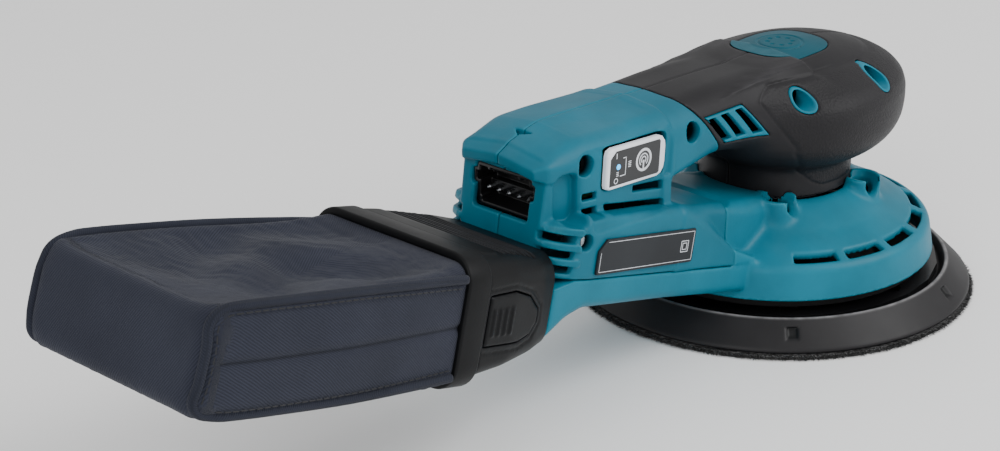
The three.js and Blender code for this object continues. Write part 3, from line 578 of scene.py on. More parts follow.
def set_map(piece: Piece, places: Array) -> None:
    """Gives a piece a map of its own.

    Args:
        piece: the piece.
        places: (n, 2) places along its surface in metres, one for each vertex.
    """
    layer = piece.data.uv_layers.new(name="cloth")
    index = np.empty(len(piece.data.loops), np.int32)
    piece.data.loops.foreach_get("vertex_index", index)
    layer.data.foreach_set("uv", places[index].astype(np.float32).ravel())


def finish_piece(piece: Piece, finish: Finish, body: Body, *stands_for: str) -> None:
    """Dresses a piece and hands it over.

    Args:
        piece: the piece.
        finish: its finish.
        body: the body that it rides on.
        stands_for: CAD nodes that it takes the place of.
    """
    finish.dress(piece)
    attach(piece, body.value)
    if stands_for:
        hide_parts(*stands_for)
    log.info("%s: %d faces on %s", piece.name, len(piece.data.polygons), body.value)


# ---------- distance fields ----------


class Grid:
    """A block of space sampled on a regular lattice. w is the distance from the middle plane."""

    def __init__(self, low: Sequence[float], high: Sequence[float], step: float) -> None:
        """Lays the lattice out; u and v are its places along and square to the pitched duct.

        Args:
            low: least x, w and z in millimetres.
            high: greatest x, w and z.
            step: the spacing.
        """
        self.low, self.step = np.array(low, float), step
        axes = [np.arange(a, b + step, step, dtype=np.float32) for a, b in zip(low, high)]
        self.x, self.w, self.z = np.meshgrid(*axes, indexing="ij", sparse=True)
        self.u = -self.x * math.cos(PITCH) + self.z * math.sin(PITCH)
        self.v = self.x * math.sin(PITCH) + self.z * math.cos(PITCH)
        self.shape = tuple(len(a) for a in axes)


def blend(a: Array, b: Array, width: float) -> Array:
    """Union of two fields, rounded where they meet: min(a, b) less the overlap squared over four widths."""
    overlap = np.maximum(width - np.abs(a - b), 0.0)
    return np.minimum(a, b) - overlap * overlap / (4 * width)


def carve(a: Array, b: Array, width: float = 0.5) -> Array:
    """Field a with b taken out of it, its edge rounded over width."""
    return -blend(-a, b, width)


def common(a: Array, b: Array, width: float = 0.5) -> Array:
    """What two fields share, its edge rounded over width."""
    return -blend(-a, -b, width)


def between(value: Array, low: float, high: float) -> Array:
    """Field of the layer from low to high."""
    return np.maximum(low - value, value - high)


def rounded(a: Array, b: Array, half_a: Array | float, half_b: Array | float,
            radius: Array | float) -> Array:
    """Field of a rounded rectangle about nought: distance to the corner square less its radius."""
    p, q = np.abs(a) - (half_a - radius), np.abs(b) - (half_b - radius)
    return np.hypot(np.maximum(p, 0), np.maximum(q, 0)) + np.minimum(np.maximum(p, q), 0) - radius


def convex(a: Array, b: Array, outline: Sequence[tuple[float, float]]) -> Array:
    """Field of a convex outline: the greatest distance beyond any of its sides.

    Args:
        a: first coordinate.
        b: second coordinate.
        outline: its corners in order.
    Returns:
        The field.
    """
    points = np.array(outline, float)
    nexts = np.roll(points, -1, 0)
    turn = np.sign(np.sum(points[:, 0] * nexts[:, 1] - points[:, 1] * nexts[:, 0]))
    result = None
    for (x0, y0), (x1, y1) in zip(points, nexts):
        length = math.hypot(x1 - x0, y1 - y0)
        side = turn * ((a - x0) * (y1 - y0) - (b - y0) * (x1 - x0)) / length
        result = side if result is None else np.maximum(result, side)
    return result


def eased(place: Array, stations: Sequence[float], values: Sequence[float], ease: float = 2.0) -> Array:
    """Value at each place: straight between stations, then averaged under a bell-shaped weight.

    Args:
        place: where it is wanted.
        stations: places with a known value.
        values: their values.
        ease: width of the bell, in millimetres.
    Returns:
        The value at each place.
    """
    order = np.argsort(stations)
    xs, ys = np.array(stations, float)[order], np.array(values, float)[order]
    spacing = ease / 16
    fine = np.arange(xs[0] - 8 * ease, xs[-1] + 8 * ease, spacing)
    reach = 64
    bell = np.exp(-0.5 * (np.arange(-reach, reach + 1) * spacing / ease) ** 2)
    line = np.convolve(np.pad(np.interp(fine, xs, ys), reach, "edge"), bell / bell.sum(), "valid")
    return np.interp(place, fine, line).astype(np.float32)


def section(place: Array, across: Array, up: Array, table: Array, ease: float = 2.0) -> Array:
    """Field of a bar whose rounded section changes along it.

    Args:
        place: position along the bar.
        across: distance from the middle plane.
        up: height in the section.
        table: rows of station, half width, low, high, upper corner radius, lower corner radius.
        ease: how far the change between stations is averaged.
    Returns:
        The field, capped at the first and last station.
    """
    half, low, high, round_up, round_low = (eased(place, table[:, 0], table[:, k], ease) for k in range(1, 6))
    middle, tall = (low + high) / 2, (high - low) / 2
    radius = np.where(up > middle, round_up, round_low)
    body = rounded(across, up - middle, half, tall, radius)
    return common(body, between(place, table[:, 0].min(), table[:, 0].max()), 0.8)


def round_cone(grid: Grid, start: Sequence[float], r0: float, end: Sequence[float], r1: float) -> Array:
    """Field of a tapered rod: the distance from its axis less the radius there.

    Args:
        grid: the lattice.
        start: one end of the axis.
        r0: radius there.
        end: the other end.
        r1: radius there.
    Returns:
        The field.
    """
    a, d = np.array(start, float), np.array(end, float) - np.array(start, float)
    dx, dw, dz = grid.x - a[0], grid.w - a[1], grid.z - a[2]
    share = np.clip((dx * d[0] + dw * d[1] + dz * d[2]) / (d @ d), 0, 1)
    gone = np.sqrt((dx - share * d[0]) ** 2 + (dw - share * d[1]) ** 2 + (dz - share * d[2]) ** 2)
    return gone - (r0 + (r1 - r0) * share)


def metric(values: Array, step: float, least: float) -> Array:
    """Field rescaled to millimetres: its value over the length of its own slope."""
    slopes = np.gradient(values, step)
    return values / np.maximum(np.sqrt(sum(s * s for s in slopes)), least)


CORNERS = np.array([(i, j, k) for i in (0, 1) for j in (0, 1) for k in (0, 1)])


def sampled(values: Array, at: Array) -> Array:
    """Reads a field between its lattice points, by straight blending of the eight corners round each place.

    Args:
        values: the field on the lattice.
        at: (n, 3) places in cell units.
    Returns:
        One value for each place.
    """
    base = np.clip(np.floor(at).astype(np.int32), 0, np.array(values.shape) - 2)
    share = at - base
    total = np.zeros(len(at))
    for corner in CORNERS:
        weight = np.prod(np.where(corner, share, 1 - share), axis=1)
        total += weight * values[tuple((base + corner).T)]
    return total


def skin(values: Array) -> tuple[Array, Array]:
    """Skin of the region where a field is below nought.

    Each cell with mixed corners gets one point, at the mean of the crossings on its edges. Each lattice
    edge with a crossing gets one quad, through the four cells round it. Points then step along the slope
    to nought.

    Args:
        values: the field on the lattice.
    Returns:
        Points in cell units and quads facing outwards.
    """
    inside = values < 0
    count = sum(inside[tuple(slice(c, n - 1 + c) for c, n in zip(corner, values.shape))].astype(np.int8)
                for corner in CORNERS)
    mixed = (count > 0) & (count < 8)
    cells = np.argwhere(mixed)
    number = np.full(mixed.shape, -1, np.int32)
    number[mixed] = np.arange(len(cells))
    at_corners = np.stack([values[tuple((cells + corner).T)] for corner in CORNERS], 1)
    total, hits = np.zeros((len(cells), 3)), np.zeros(len(cells))
    for a, start in enumerate(CORNERS):
        for axis, bit in enumerate((4, 2, 1)):
            if a & bit:
                continue
            low, high = at_corners[:, a], at_corners[:, a | bit]
            crossed = (low < 0) != (high < 0)
            share = np.where(crossed, low / np.where(crossed, low - high, 1.0), 0.0)
            point = np.repeat(start[None].astype(float), len(cells), 0)
            point[:, axis] = share
            total += point * crossed[:, None]
            hits += crossed
    points = cells + total / hits[:, None]
    quads = []
    for axis in range(3):
        second, third = (axis + 1) % 3, (axis + 2) % 3
        near, far = [slice(1, -1)] * 3, [slice(1, -1)] * 3
        near[axis], far[axis] = slice(0, -1), slice(1, None)
        leaving = inside[tuple(near)] & ~inside[tuple(far)]
        entering = ~inside[tuple(near)] & inside[tuple(far)]
        for crossing, flip in ((leaving, False), (entering, True)):
            spots = np.argwhere(crossing)
            spots[:, second] += 1
            spots[:, third] += 1
            ring = []
            for back_second, back_third in ((1, 1), (0, 1), (0, 0), (1, 0)):
                cell = spots.copy()
                cell[:, second] -= back_second
                cell[:, third] -= back_third
                ring.append(number[tuple(cell.T)])
            quads.append(np.stack(ring[::-1] if flip else ring, 1))
    for _ in range(2):
        slope = np.stack([sampled(values, points + half) - sampled(values, points - half)
                          for half in np.eye(3) * 0.5], 1)
        length = np.maximum((slope * slope).sum(1), 1e-4)
        points = points - np.clip((sampled(values, points) / length)[:, None] * slope, -0.45, 0.45)
    return points, np.concatenate(quads)


def field_piece(name: str, values: Array, grid: Grid, side: Side | None, extras: dict[str, Array]) -> Piece:
    """Makes a piece from a field, with its edge attribute and others sampled on its vertices.

    The edge attribute is the field's own bend: its mean round each vertex less its value there.

    Args:
        name: the piece's name.
        values: the field, over w from the middle plane.
        grid: the lattice.
        side: the flank it is on, or None for a field that is mirrored into one whole piece.
        extras: further fields to store on the vertices.
    Returns:
        The object.
    """
    low = grid.low.copy()
    extras = {key: np.broadcast_to(extra, values.shape) for key, extra in extras.items()}
    if side is None:
        low[1] = -((values.shape[1] - 1) * grid.step)
        values = np.concatenate([values[:, :0:-1], values], 1)
        extras = {key: np.concatenate([extra[:, :0:-1], extra], 1) for key, extra in extras.items()}
    points, quads = skin(np.pad(values, 1, constant_values=5.0))
    points = points - 1
    reach = 1.4
    bend = sum(sampled(values, points + h) + sampled(values, points - h) for h in np.eye(3) * reach)
    bend = (bend - 6 * sampled(values, points)) / (reach * reach * grid.step)
    places = points * grid.step + low
    if side is Side.RIGHT:
        places[:, 1] *= -1
        quads = quads[:, ::-1]
    piece = mesh_piece(name, places, quads)
    # The edge values lighten convex edges in the material: rubbed edges and a painted highlight.
    set_values(piece, "edge", np.clip((bend - 0.35) * 1.1, 0, 1))
    for key, extra in extras.items():
        set_values(piece, key, sampled(extra, points))
    return piece


# ---------- housing ----------

# Rows are station, half width, low, high, upper corner radius and lower corner radius.
HANDLE_TABLE = np.array([
    (-92, 22.4, 72.3, 95.9, 10, 3), (-76, 22.3, 72.3, 95.4, 11, 5), (-62, 22.6, 72, 95.0, 12, 8),
    (-46, 23.4, 68, 94.5, 14, 11), (-30, 26.4, 63.5, 93.6, 17, 13), (-14, 29.6, 60.5, 92.6, 19, 13)], float)
TAIL_TABLE = np.array([
    (-151.5, 17.6, 63, 93.8, 4, 2), (-146, 18.6, 63, 94.0, 4, 2), (-140.5, 20.6, 60, 95.9, 6, 2),
    (-132, 22.3, 60, 97.9, 7, 2), (-118, 22.7, 59, 97.5, 7, 2), (-88.5, 22.5, 56, 96.1, 8, 2)], float)
BROW_TABLE = np.array([
    (-151.2, 15.8, 88, 91.4, 0.8, 1), (-147.4, 19.2, 86.9, 93.3, 1.6, 1), (-139.5, 20.7, 86, 95.9, 6, 1),
    (-132, 22, 86, 97.6, 8, 1)], float)
BODY_TABLE = np.array([
    (161, 18.5, 16.3, 33, 3, 0.8), (159.6, 22.0, 16.3, 34.5, 4, 0.8), (157, 24.8, 16.3, 36, 4, 0.8),
    (152.5, 27.0, 16.3, 38, 4, 0.8), (146, 28, 16.3, 38.2, 4, 0.8), (97, 28.3, 16.3, 38.6, 4, 0.8),
    (84, 28.5, 16.3, 33.5, 5, 0.8), (66, 28.7, 16.3, 22, 2, 0.8), (54, 28.7, 16.3, 18.5, 0.8, 0.8)], float)
SADDLE_TABLE = np.array([
    (30, 20, 16.3, 38, 6, 1), (58, 23, 16.3, 37.6, 5, 1), (80, 25.6, 16.3, 38.2, 3.5, 1),
    (99, 28.2, 16.3, 38.4, 4, 1)], float)
DUCT_TABLE = np.array([
    (36, 28.6, 5.6, 16, 0.8, 2.5), (100, 28, 6, 16, 0.8, 4), (144, 27.6, 5.6, 16, 0.8, 4),
    (152, 27.3, 2, 16, 0.8, 5), (161, 27, -5.5, 16, 0.8, 6)], float)
ADAPTER_TABLE = np.array([
    (161.4, 27, -6, 25, 9, 6), (170, 30, -7.4, 26, 9, 6), (186, 33, -9.2, 27.4, 9, 5),
    (201, 34.2, -10.8, 28, 9, 5)], float)
# Rows are height, reach forward, reach back, half width, and the outline's power.
PALM_TABLE = np.array([
    (43.2, 28.4, 28.4, 28.4, 2), (51, 28.1, 28.1, 28.1, 2), (54.0, 28.6, 28.4, 28.4, 2),
    (56, 32.5, 30, 31, 2.03), (58, 40.5, 33.5, 36, 2.06), (60.5, 46, 36.4, 38.8, 2.1),
    (63, 49, 38.4, 40.2, 2.15), (66.5, 51.2, 39.6, 41, 2.2), (71, 52.6, 40, 41.2, 2.2),
    (76, 53.3, 40, 40.8, 2.2), (80, 52, 39, 39.6, 2.2), (83.5, 49, 37, 36.4, 2.2), (86.5, 43.6, 34, 30, 2.2),
    (89.5, 34.5, 30, 23.6, 2.2), (92, 23, 24, 17, 2.2), (93.6, 10, 12, 8, 2.1), (94.1, 0, 0, 0, 2.1)], float)
LATCH_OUTLINE = [(199.6, 16.2), (186.6, 16.8), (177.5, 14.2), (171.5, 9.3), (171.2, 5), (174.8, 0.8),
                 (181, -0.8), (199.6, -0.5)]
PANEL_REAR = np.array([(46.5, -5.9), (48.6, -11.3), (61.1, -25.3), (65.4, -28.3), (67.1, -28.2),
                       (86.2, -41.4), (88.8, -37.6), (90, -33.9)], float)
VENT_OUTLINE = [(-70.5, 87.8), (-50.0, 87.6), (-37.0, 73.4), (-59.4, 75.8)]
VENT_SLOTS = ([(-68.4, 86.6), (-65.4, 86.6), (-57.0, 77.4), (-60.4, 77.4)],
              [(-62.0, 86.6), (-58.4, 86.6), (-49.4, 76.9), (-53.6, 76.9)],
              [(-54.3, 86.5), (-50.8, 86.5), (-40.8, 75.9), (-45.0, 75.9)])


@dataclass(frozen=True)
class SideScrew:
    """A screw driven from the right flank: its place, the depth of its head, and its hole's radius."""

    name: str
    x: float
    z: float
    head: float
    hole: float


TAIL_SCREWS = (SideScrew("tail_screw_rear", -131.5, 87.2, 15.5, 3.6),
               SideScrew("tail_screw_front", -77.1, 84.4, 15.5, 3.6),
               SideScrew("tail_screw_lower", -137.6, 63.9, 22.5, 2.8))
PALM_SCREWS = (SideScrew("palm_screw_rear", -24.2, 84, 20, 4.3),
               SideScrew("palm_screw_front", 15, 83.8, 20, 4.3))


def palm_field(grid: Grid) -> Array:
    """Palm knob: a squarish round outline whose reach forward, backward and sideways changes with height.

    The outline is (x / reach) ** power + (w / half) ** power = 1. The reaches are squared before they are
    eased along Z, so that the crown closes as a smooth dome.

    Args:
        grid: the lattice.
    Returns:
        The field.
    """
    z = grid.z
    front, back, half = (np.sqrt(np.clip(eased(z, PALM_TABLE[:, 0], PALM_TABLE[:, k] ** 2, 0.9), 0.04, None))
                         for k in (1, 2, 3))
    power = eased(z, PALM_TABLE[:, 0], PALM_TABLE[:, 4], 1.0)
    reach = np.where(grid.x > 0, front, back)
    outline = ((np.abs(grid.x) / reach) ** power + (np.abs(grid.w) / half) ** power) ** (1 / power) - 1
    return np.maximum(metric(np.clip(outline, -1, 1.6), grid.step, 0.014), between(z, 43.2, 94.1))


def gabled(grid: Grid) -> Array:
    """Height with a low roof taken off it: the tail's top falls away from a crease along its middle."""
    slope = eased(grid.x, (-160, -92, -56), (0.13, 0.13, 0.0), 4.0)
    return grid.z + slope * (np.sqrt(grid.w**2 + 0.6) - 0.77)


def joint_field(grid: Grid) -> Array:
    """Distance in front of the leaning plane where the grip meets the tail."""
    return (grid.x - JOINT_X) * math.cos(JOINT_LEAN) + (grid.z - JOINT_Z) * math.sin(JOINT_LEAN)


def bored(grid: Grid, screw: SideScrew, radius: float) -> Array:
    """Field of a round hole along Y from outside the flank to the screw's head."""
    return np.maximum(np.hypot(grid.x - screw.x, grid.z - screw.z) - radius, screw.head - grid.w)


def swelling(distance: Array, width: float) -> Array:
    """One inside a field and nought outside it, with a smooth step over width."""
    t = np.clip(0.5 - distance / width, 0, 1)
    return t * t * (3 - 2 * t)


@dataclass
class GripShells:
    """The black grip, its textured palm panels, the vents let into its sides, and the crown badge."""

    grid: Grid = field(default_factory=lambda: Grid((-98, -0.5, 41.5), (56, 43.5, 96), MEDIUM))
    seam: float = 0.15
    line_depth: float = 0.38
    line_width: float = 0.42
    emboss: float = 0.22
    badge_reach: tuple[float, float] = (18.6, 14.8)
    badge_power: float = 2.9
    badge_depth: float = 0.9
    dimples: int = 8
    dimple_ring: float = 4.6
    ring_radius: float = 8.2
    foot: float = 43.5

    @staticmethod
    def form(g: Grid) -> Array:
        """Palm and handle flowing into each other."""
        return blend(palm_field(g), section(g.x, g.w, gabled(g), HANDLE_TABLE, 3.5), 7.0)

    def panel(self) -> Array:
        """Works out the textured palm panel, seen from the flank.

        Returns:
            Distance outside it.
        """
        g = self.grid
        rear = eased(g.z, PANEL_REAR[:, 0], PANEL_REAR[:, 1], 0.5)
        ridge = eased(g.x, (-40, 0, 20, 34), (90.2, 89.4, 88.2, 88.0), 3.0)
        return np.maximum(np.maximum((rear - g.x) * 0.8, g.z - ridge), 46.9 - g.z)

    def badge(self, g: Grid) -> Array:
        """Badge's outline: (x / a) ** power + (w / b) ** power = 1.

        Args:
            g: the lattice.
        Returns:
            The field.
        """
        a, b = self.badge_reach
        power = self.badge_power
        return (((np.abs(g.x + 0.5) / a) ** power + (np.abs(g.w) / b) ** power) ** (1 / power) - 1) * b

    def build(self) -> None:
        """Makes both grip shells, both vent inserts, the badge and the screw sleeves."""
        g = self.grid
        form, panel, badge = self.form(g), self.panel(), self.badge(g)
        line = np.exp(-((panel / self.line_width) ** 2)) * swelling(3 - g.w, 4.0)
        outer = form + self.line_depth * line - self.emboss * swelling(panel + 0.6, 1.2)
        outer = carve(outer, np.maximum(badge, -(form + self.badge_depth)), 0.4)
        vent = np.maximum(convex(g.x, g.z, VENT_OUTLINE), 12 - g.w)
        grain = swelling(panel + 0.8, 0.8)
        front = 0.5 * GAP - joint_field(g)
        for side in Side:
            solid = outer
            if side is Side.RIGHT:
                for screw in PALM_SCREWS:
                    solid = carve(solid, bored(g, screw, screw.hole), 0.6)
            shell = carve(np.maximum(solid, -(solid + WALL)), vent, 0.5)
            shell = common(shell, np.maximum(front, self.seam - g.w), 0.5)
            shell = np.maximum(shell, self.foot - g.z)
            name = f"grip_shell_{side.name.lower()}"
            # The depth values paint shade inside the wall and down the sides of its openings.
            piece = field_piece(name, shell, g, side, {"grain": grain, "depth": -form - 0.6})
            finish_piece(piece, GRIP, Body.HOUSING, name)
            self.vent(side)
        self.plate()
        self.sleeves()

    def vent(self, side: Side) -> None:
        """Makes a slotted insert: a band of the skin inside the vent's outline, with three slanting slots.

        Args:
            side: the flank it is on.
        """
        g = Grid((-72, 13, 71.5), (-34, 31, 90), 0.3)
        form = self.form(g)
        band = np.maximum(form - 0.3, -(form + WALL))
        insert = common(band, convex(g.x, g.z, VENT_OUTLINE) + 0.25, 0.5)
        for outline in VENT_SLOTS:
            insert = carve(insert, convex(g.x, g.z, outline) - 0.1, 0.6)
        name = f"vent_insert_{side.name.lower()}"
        # The depth values paint shade down the sides of the slots.
        piece = field_piece(name, insert, g, side, {"depth": -form - 0.7})
        finish_piece(piece, TEAL_DECK, Body.HOUSING, name)

    def plate(self) -> None:
        """Crown badge: a thin plate in its pocket, with a plain ring and eight dimples pressed into it."""
        g = Grid((-20, 0.0, 84), (19, 16, 95), 0.22)
        form = self.form(g)
        radius, angle = np.hypot(g.x, g.w), np.arctan2(g.w, g.x)
        step = 2 * math.pi / self.dimples
        near = angle - np.round(angle / step) * step
        dimples = np.hypot(radius * np.cos(near) - self.dimple_ring, radius * np.sin(near)) - 0.9
        relief = 0.35 * swelling(np.minimum(np.abs(radius - self.ring_radius) - 0.55, dimples), 0.7)
        plate = common(np.maximum(form + 0.12 + relief, -(form + 0.85)), self.badge(g) + 0.3, 0.35)
        piece = field_piece("crown_badge", plate, g, None, {})
        finish_piece(piece, BADGE_TEAL, Body.HOUSING, "crown_badge")

    def sleeves(self) -> None:
        """Teal sleeves in the palm's two screw holes, cut off level with the skin."""
        for screw in PALM_SCREWS:
            g = Grid((screw.x - 6.5, screw.head + 1, screw.z - 6.5), (screw.x + 6.5, 43, screw.z + 6.5), 0.3)
            form, radius = self.form(g), np.hypot(g.x - screw.x, g.z - screw.z)
            tube = common(between(radius, screw.hole - 1.1, screw.hole - 0.1), form - 0.1, 0.4)
            tube = np.maximum(tube, screw.head + 3.3 - g.w)
            name = screw.name.replace("screw", "sleeve")
            # The depth values paint shade that deepens down the screw holes.
            piece = field_piece(name, tube, g, Side.RIGHT, {"depth": (-form - 1.5) * 0.55})
            finish_piece(piece, TEAL_DECK, Body.HOUSING, name)


@dataclass
class TailShells:
    """The teal tail: inlet opening, finger scoops, flank slots, louvres, and the pocket for the switch."""

    grid: Grid = field(default_factory=lambda: Grid((-153, -0.5, 28), (-57.5, 30.5, 99.5), FINE))
    seam: float = 0.15
    rear_lean: float = 0.17

    def form(self) -> Array:
        """Makes tail, brow, handle root, lower body and saddle flow into one another.

        Returns:
            The field of the closed form.
        """
        g = self.grid
        up = gabled(g)
        tail = section(g.x, g.w, up, TAIL_TABLE)
        tail = common(tail, (-149.3 + self.rear_lean * (g.z - 76)) - g.x, 1.0)
        tail = blend(tail, section(g.x, g.w, up, BROW_TABLE, 0.7), 0.8)
        handle = section(g.x, g.w, up, HANDLE_TABLE, 3.5)
        tail = blend(tail, handle, 1.5)
        lower = blend(section(g.u, g.w, g.v, BODY_TABLE, 0.9), section(g.u, g.w, g.v, SADDLE_TABLE, 1.5), 2.0)
        return blend(tail, lower, 1.6)

    def recesses(self, form: Array) -> Array:
        """Takes out the finger scoop, the flank field, the groove and the notch, and adds the corner ribs.

        Args:
            form: the closed form.
        Returns:
            The field with its blind recesses.
        """
        g = self.grid
        field_edge = rounded(g.x + 114.2, g.z - 77.5 + 0.05 * (g.x + 114), 20.8, 13.2, 3.5)
        deep = form + 0.75 * swelling(np.maximum(field_edge, 17 - g.w), 1.6)
        scoop = np.maximum(rounded(g.x + 139.6, g.z - 77.6, 4.6, 8.4, 3.6), 17.2 - g.w + 0.12 * (g.x + 139.6))
        deep = carve(deep, scoop, 2.2)
        groove = np.hypot(g.x + 90.0 - 0.12 * (g.z - 84), g.w - 23.2) - 1.7
        deep = carve(deep, np.maximum(groove, between(g.z, 73.5, 89.5)), 1.2)
        notch = np.maximum(between(g.x, -141, -138.2), g.w - 1.2 * (g.x + 141.4))
        deep = carve(deep, np.maximum(notch, 94.2 - g.z), 0.4)
        ribs = [rounded(g.v - v, g.u - 156.5, 1.2, 5.5, 1.1) for v in (26.9, 21.9, 32.2)]
        bulge = np.maximum(np.minimum.reduce(ribs), form - 0.8)
        return blend(deep, np.maximum(bulge, 15 - g.w), 0.9)

    def slots(self) -> Array:
        """Places everything that is cut right through the flank.

        Returns:
            The field of the louvres, the cells, the long slot and the wedge.
        """
        g = self.grid
        louvres = [np.maximum(rounded(g.v - v, g.u - 160.6, 1.3, 7.2, 0.9), 16.8 - g.w)
                   for v in (29.6, 24.4, 19.4)]
        cells = [rounded(g.x - x, g.z - z + 0.1 * (g.x - x), 3.3, 1.3, 0.3)
                 for x, z in ((-129.9, 76.2), (-130.2, 71.0))]
        long = convex(g.x, g.z, [(-123, 68.7), (-93, 62.8), (-93, 64.9), (-123, 71.5)])
        wedge = convex(g.x, g.z, [(-108.4, 71.7), (-93.3, 68.7), (-93.3, 71.8), (-108.4, 73.9)])
        flank = np.maximum(np.minimum.reduce([*cells, long, wedge]), 16 - g.w)
        return np.minimum(np.minimum.reduce(louvres), flank)

    def build(self) -> None:
        """Makes both tail shells."""
        g = self.grid
        form = self.form()
        solid = self.recesses(form)
        socket = np.minimum(rounded(g.w, g.z - SOCKET_Z, 12.15, 7.4, 1.4),
                            rounded(g.w, g.z - SOCKET_WING_Z, 13.85, 2.75, 1.3))
        inlet = np.maximum(socket, g.x + 120)
        trim = np.maximum(joint_field(g) + 0.5 * GAP, np.maximum(self.seam - g.w, g.x - SHROUD_FRONT + GAP))
        slots = self.slots()
        for side in Side:
            shape = solid
            if side is Side.RIGHT:
                for screw in TAIL_SCREWS:
                    shape = carve(shape, bored(g, screw, screw.hole), 0.7)
            shell = np.maximum(shape, -(shape + WALL))
            shell = carve(carve(shell, slots, 0.5), inlet, 0.5)
            if side is Side.RIGHT:
                shell = carve(shell, self.switch_window(), 0.5)
            shell = common(shell, trim, 0.5)
            name = f"tail_shell_{side.name.lower()}"
            # The depth values paint shade inside the wall and down the sides of slots, holes and openings.
            piece = field_piece(name, shell, g, side, {"depth": np.minimum(-form, -solid) - 0.4})
            finish_piece(piece, TEAL, Body.HOUSING, name)

    def switch_window(self) -> Array:
        """Places the opening that the switch plate sits in.

        Returns:
            The field of the opening, turned to the plate's lean.
        """
        g = self.grid
        c, s = math.cos(SWITCH_LEAN), math.sin(SWITCH_LEAN)
        along = (g.x - SWITCH_X) * c - (g.z - SWITCH_Z) * s
        up = (g.x - SWITCH_X) * s + (g.z - SWITCH_Z) * c
        return np.maximum(rounded(along, up, 16.2, 7.5, 2.4), 16 - g.w)


@dataclass(frozen=True)
class Scoop:
    """A deck screw's place, and the point that its tapered scoop runs out to."""

    x: float
    w: float
    end: tuple[float, float, float]


@dataclass
class Shroud:
    """Skirt, deck with its exhaust slots and screw scoops, lower duct and outlet spigot."""

    grid: Grid = field(default_factory=lambda: Grid((-181, 0.0, 4), (62, 62, 52), COARSE))
    slot_step: float = math.radians(21.03)
    slot_half: float = math.radians(8.5)
    slot_radii: tuple[float, float] = (51.6, 55.4)
    foot: float = 16.4
    skirt_radius: float = 60.4
    skirt_taper: float = 0.1667
    skirt_wall: float = 3.4
    neck_radius: float = 28.35
    boss_radius: float = 7.2
    spigot_ends: tuple[float, float] = (150, 176)
    scoops: tuple[Scoop, ...] = (Scoop(-25.5, 20.6, (-22.0, 36.0, 38.0)),
                                 Scoop(13.3, 30.0, (12.0, 44.0, 37.0)))

    def deck(self) -> tuple[Array, Array]:
        """Turns the skirt and the deck round the motor axis.

        Returns:
            The field of their outside, and that of the cavity under them.
        """
        g = self.grid
        radius = np.hypot(g.x, g.w)
        top = eased(radius, (0, 28, 31, 43, 57, 66), (43.2, 43.2, 42.6, 35.4, 28.9, 25.3), 0.8)
        wall = (radius - self.skirt_radius + (g.z - self.foot) * self.skirt_taper) * 0.986
        outer = common(np.maximum(wall, self.foot - g.z), (g.z - top) * 0.88, 2.0)
        cavity = np.maximum((g.z - np.minimum(top - 2.9, 39.6)) * 0.88, wall + self.skirt_wall)
        return outer, cavity

    def scooped(self, outside: Array) -> Array:
        """Raises a boss round each deck screw and runs its tapered scoop out of it.

        Args:
            outside: the field of the shroud's outside.
        Returns:
            The field with bosses and scoops.
        """
        g = self.grid
        for scoop in self.scoops:
            around = np.hypot(g.x - scoop.x, g.w - scoop.w)
            outside = blend(outside, np.maximum(around - self.boss_radius, between(g.z, 34, 45.9)), 2.5)
            outside = carve(outside, round_cone(g, (scoop.x, scoop.w, 47.0), 5.4, scoop.end, 0.8), 0.6)
            outside = carve(outside, np.maximum(around - 4.2, 39.3 - g.z), 0.4)
        return outside

    def slots(self) -> Array:
        """Places the exhaust slots: equal arcs at equal steps from the front round to the neck.

        Returns:
            The field of the slots.
        """
        g = self.grid
        radius, angle = np.hypot(g.x, g.w), np.arctan2(g.w, g.x)
        nearest = np.clip(np.round(angle / self.slot_step), 0, 6)
        arc = (np.abs(angle - nearest * self.slot_step) - self.slot_half) * radius
        return np.maximum(np.maximum(arc, between(radius, *self.slot_radii)), 20 - g.z)

    def build(self) -> None:
        """Makes the shroud as one mirrored piece."""
        g = self.grid
        outer, cavity = self.deck()
        body = blend(section(g.u, g.w, g.v, BODY_TABLE, 0.9), section(g.u, g.w, g.v, SADDLE_TABLE, 1.5), 2.0)
        body = np.maximum(body, SHROUD_FRONT - g.x)
        duct = section(g.u, g.w, g.v, DUCT_TABLE, 1.2)
        spigot = np.maximum(rounded(g.w, g.v - 5.4, 20, 8, 7), between(g.u, *self.spigot_ends))
        outside = self.scooped(blend(blend(outer, body, 3.0), np.minimum(duct, spigot), 0.8))
        bore = np.maximum(rounded(g.w, g.v - 5.4, 18, 6, 5), 136 - g.u)
        neck = np.maximum(np.hypot(g.x, g.w) - self.neck_radius, 30 - g.z)
        hollow = np.minimum(np.minimum(cavity, bore), body + WALL)
        shell = carve(carve(np.maximum(outside, -hollow), self.slots(), 0.5), neck, 0.5)
        shell = np.maximum(shell, np.where(g.x > -58, self.foot - g.z, -5.0))
        # The depth values paint shade inside its walls and down the sides of the slots and the neck.
        piece = field_piece("dust_shroud", shell, g, None, {"depth": -outside - 0.9})
        finish_piece(piece, TEAL_DECK, Body.HOUSING, "dust_shroud")
        self.screws()

    def screws(self) -> None:
        """Four blackened screws with socketed round heads, down in the scoops."""
        profile = np.array([(0, 34), (1.6, 34), (1.6, 39.4), (2.9, 39.5), (3.0, 40.9), (2.6, 41.5),
                            (1.5, 41.6), (1.3, 40.4), (0, 40.4)])
        centres = [(scoop.x, scoop.w * side.value) for side in Side for scoop in self.scoops]
        for number, centre in zip((1, 2, 4, 3), centres):
            name = f"deck_screw_{number}"
            finish_piece(lathe(name, profile, centre, 32), BLACK_SCREW, Body.HOUSING, name)


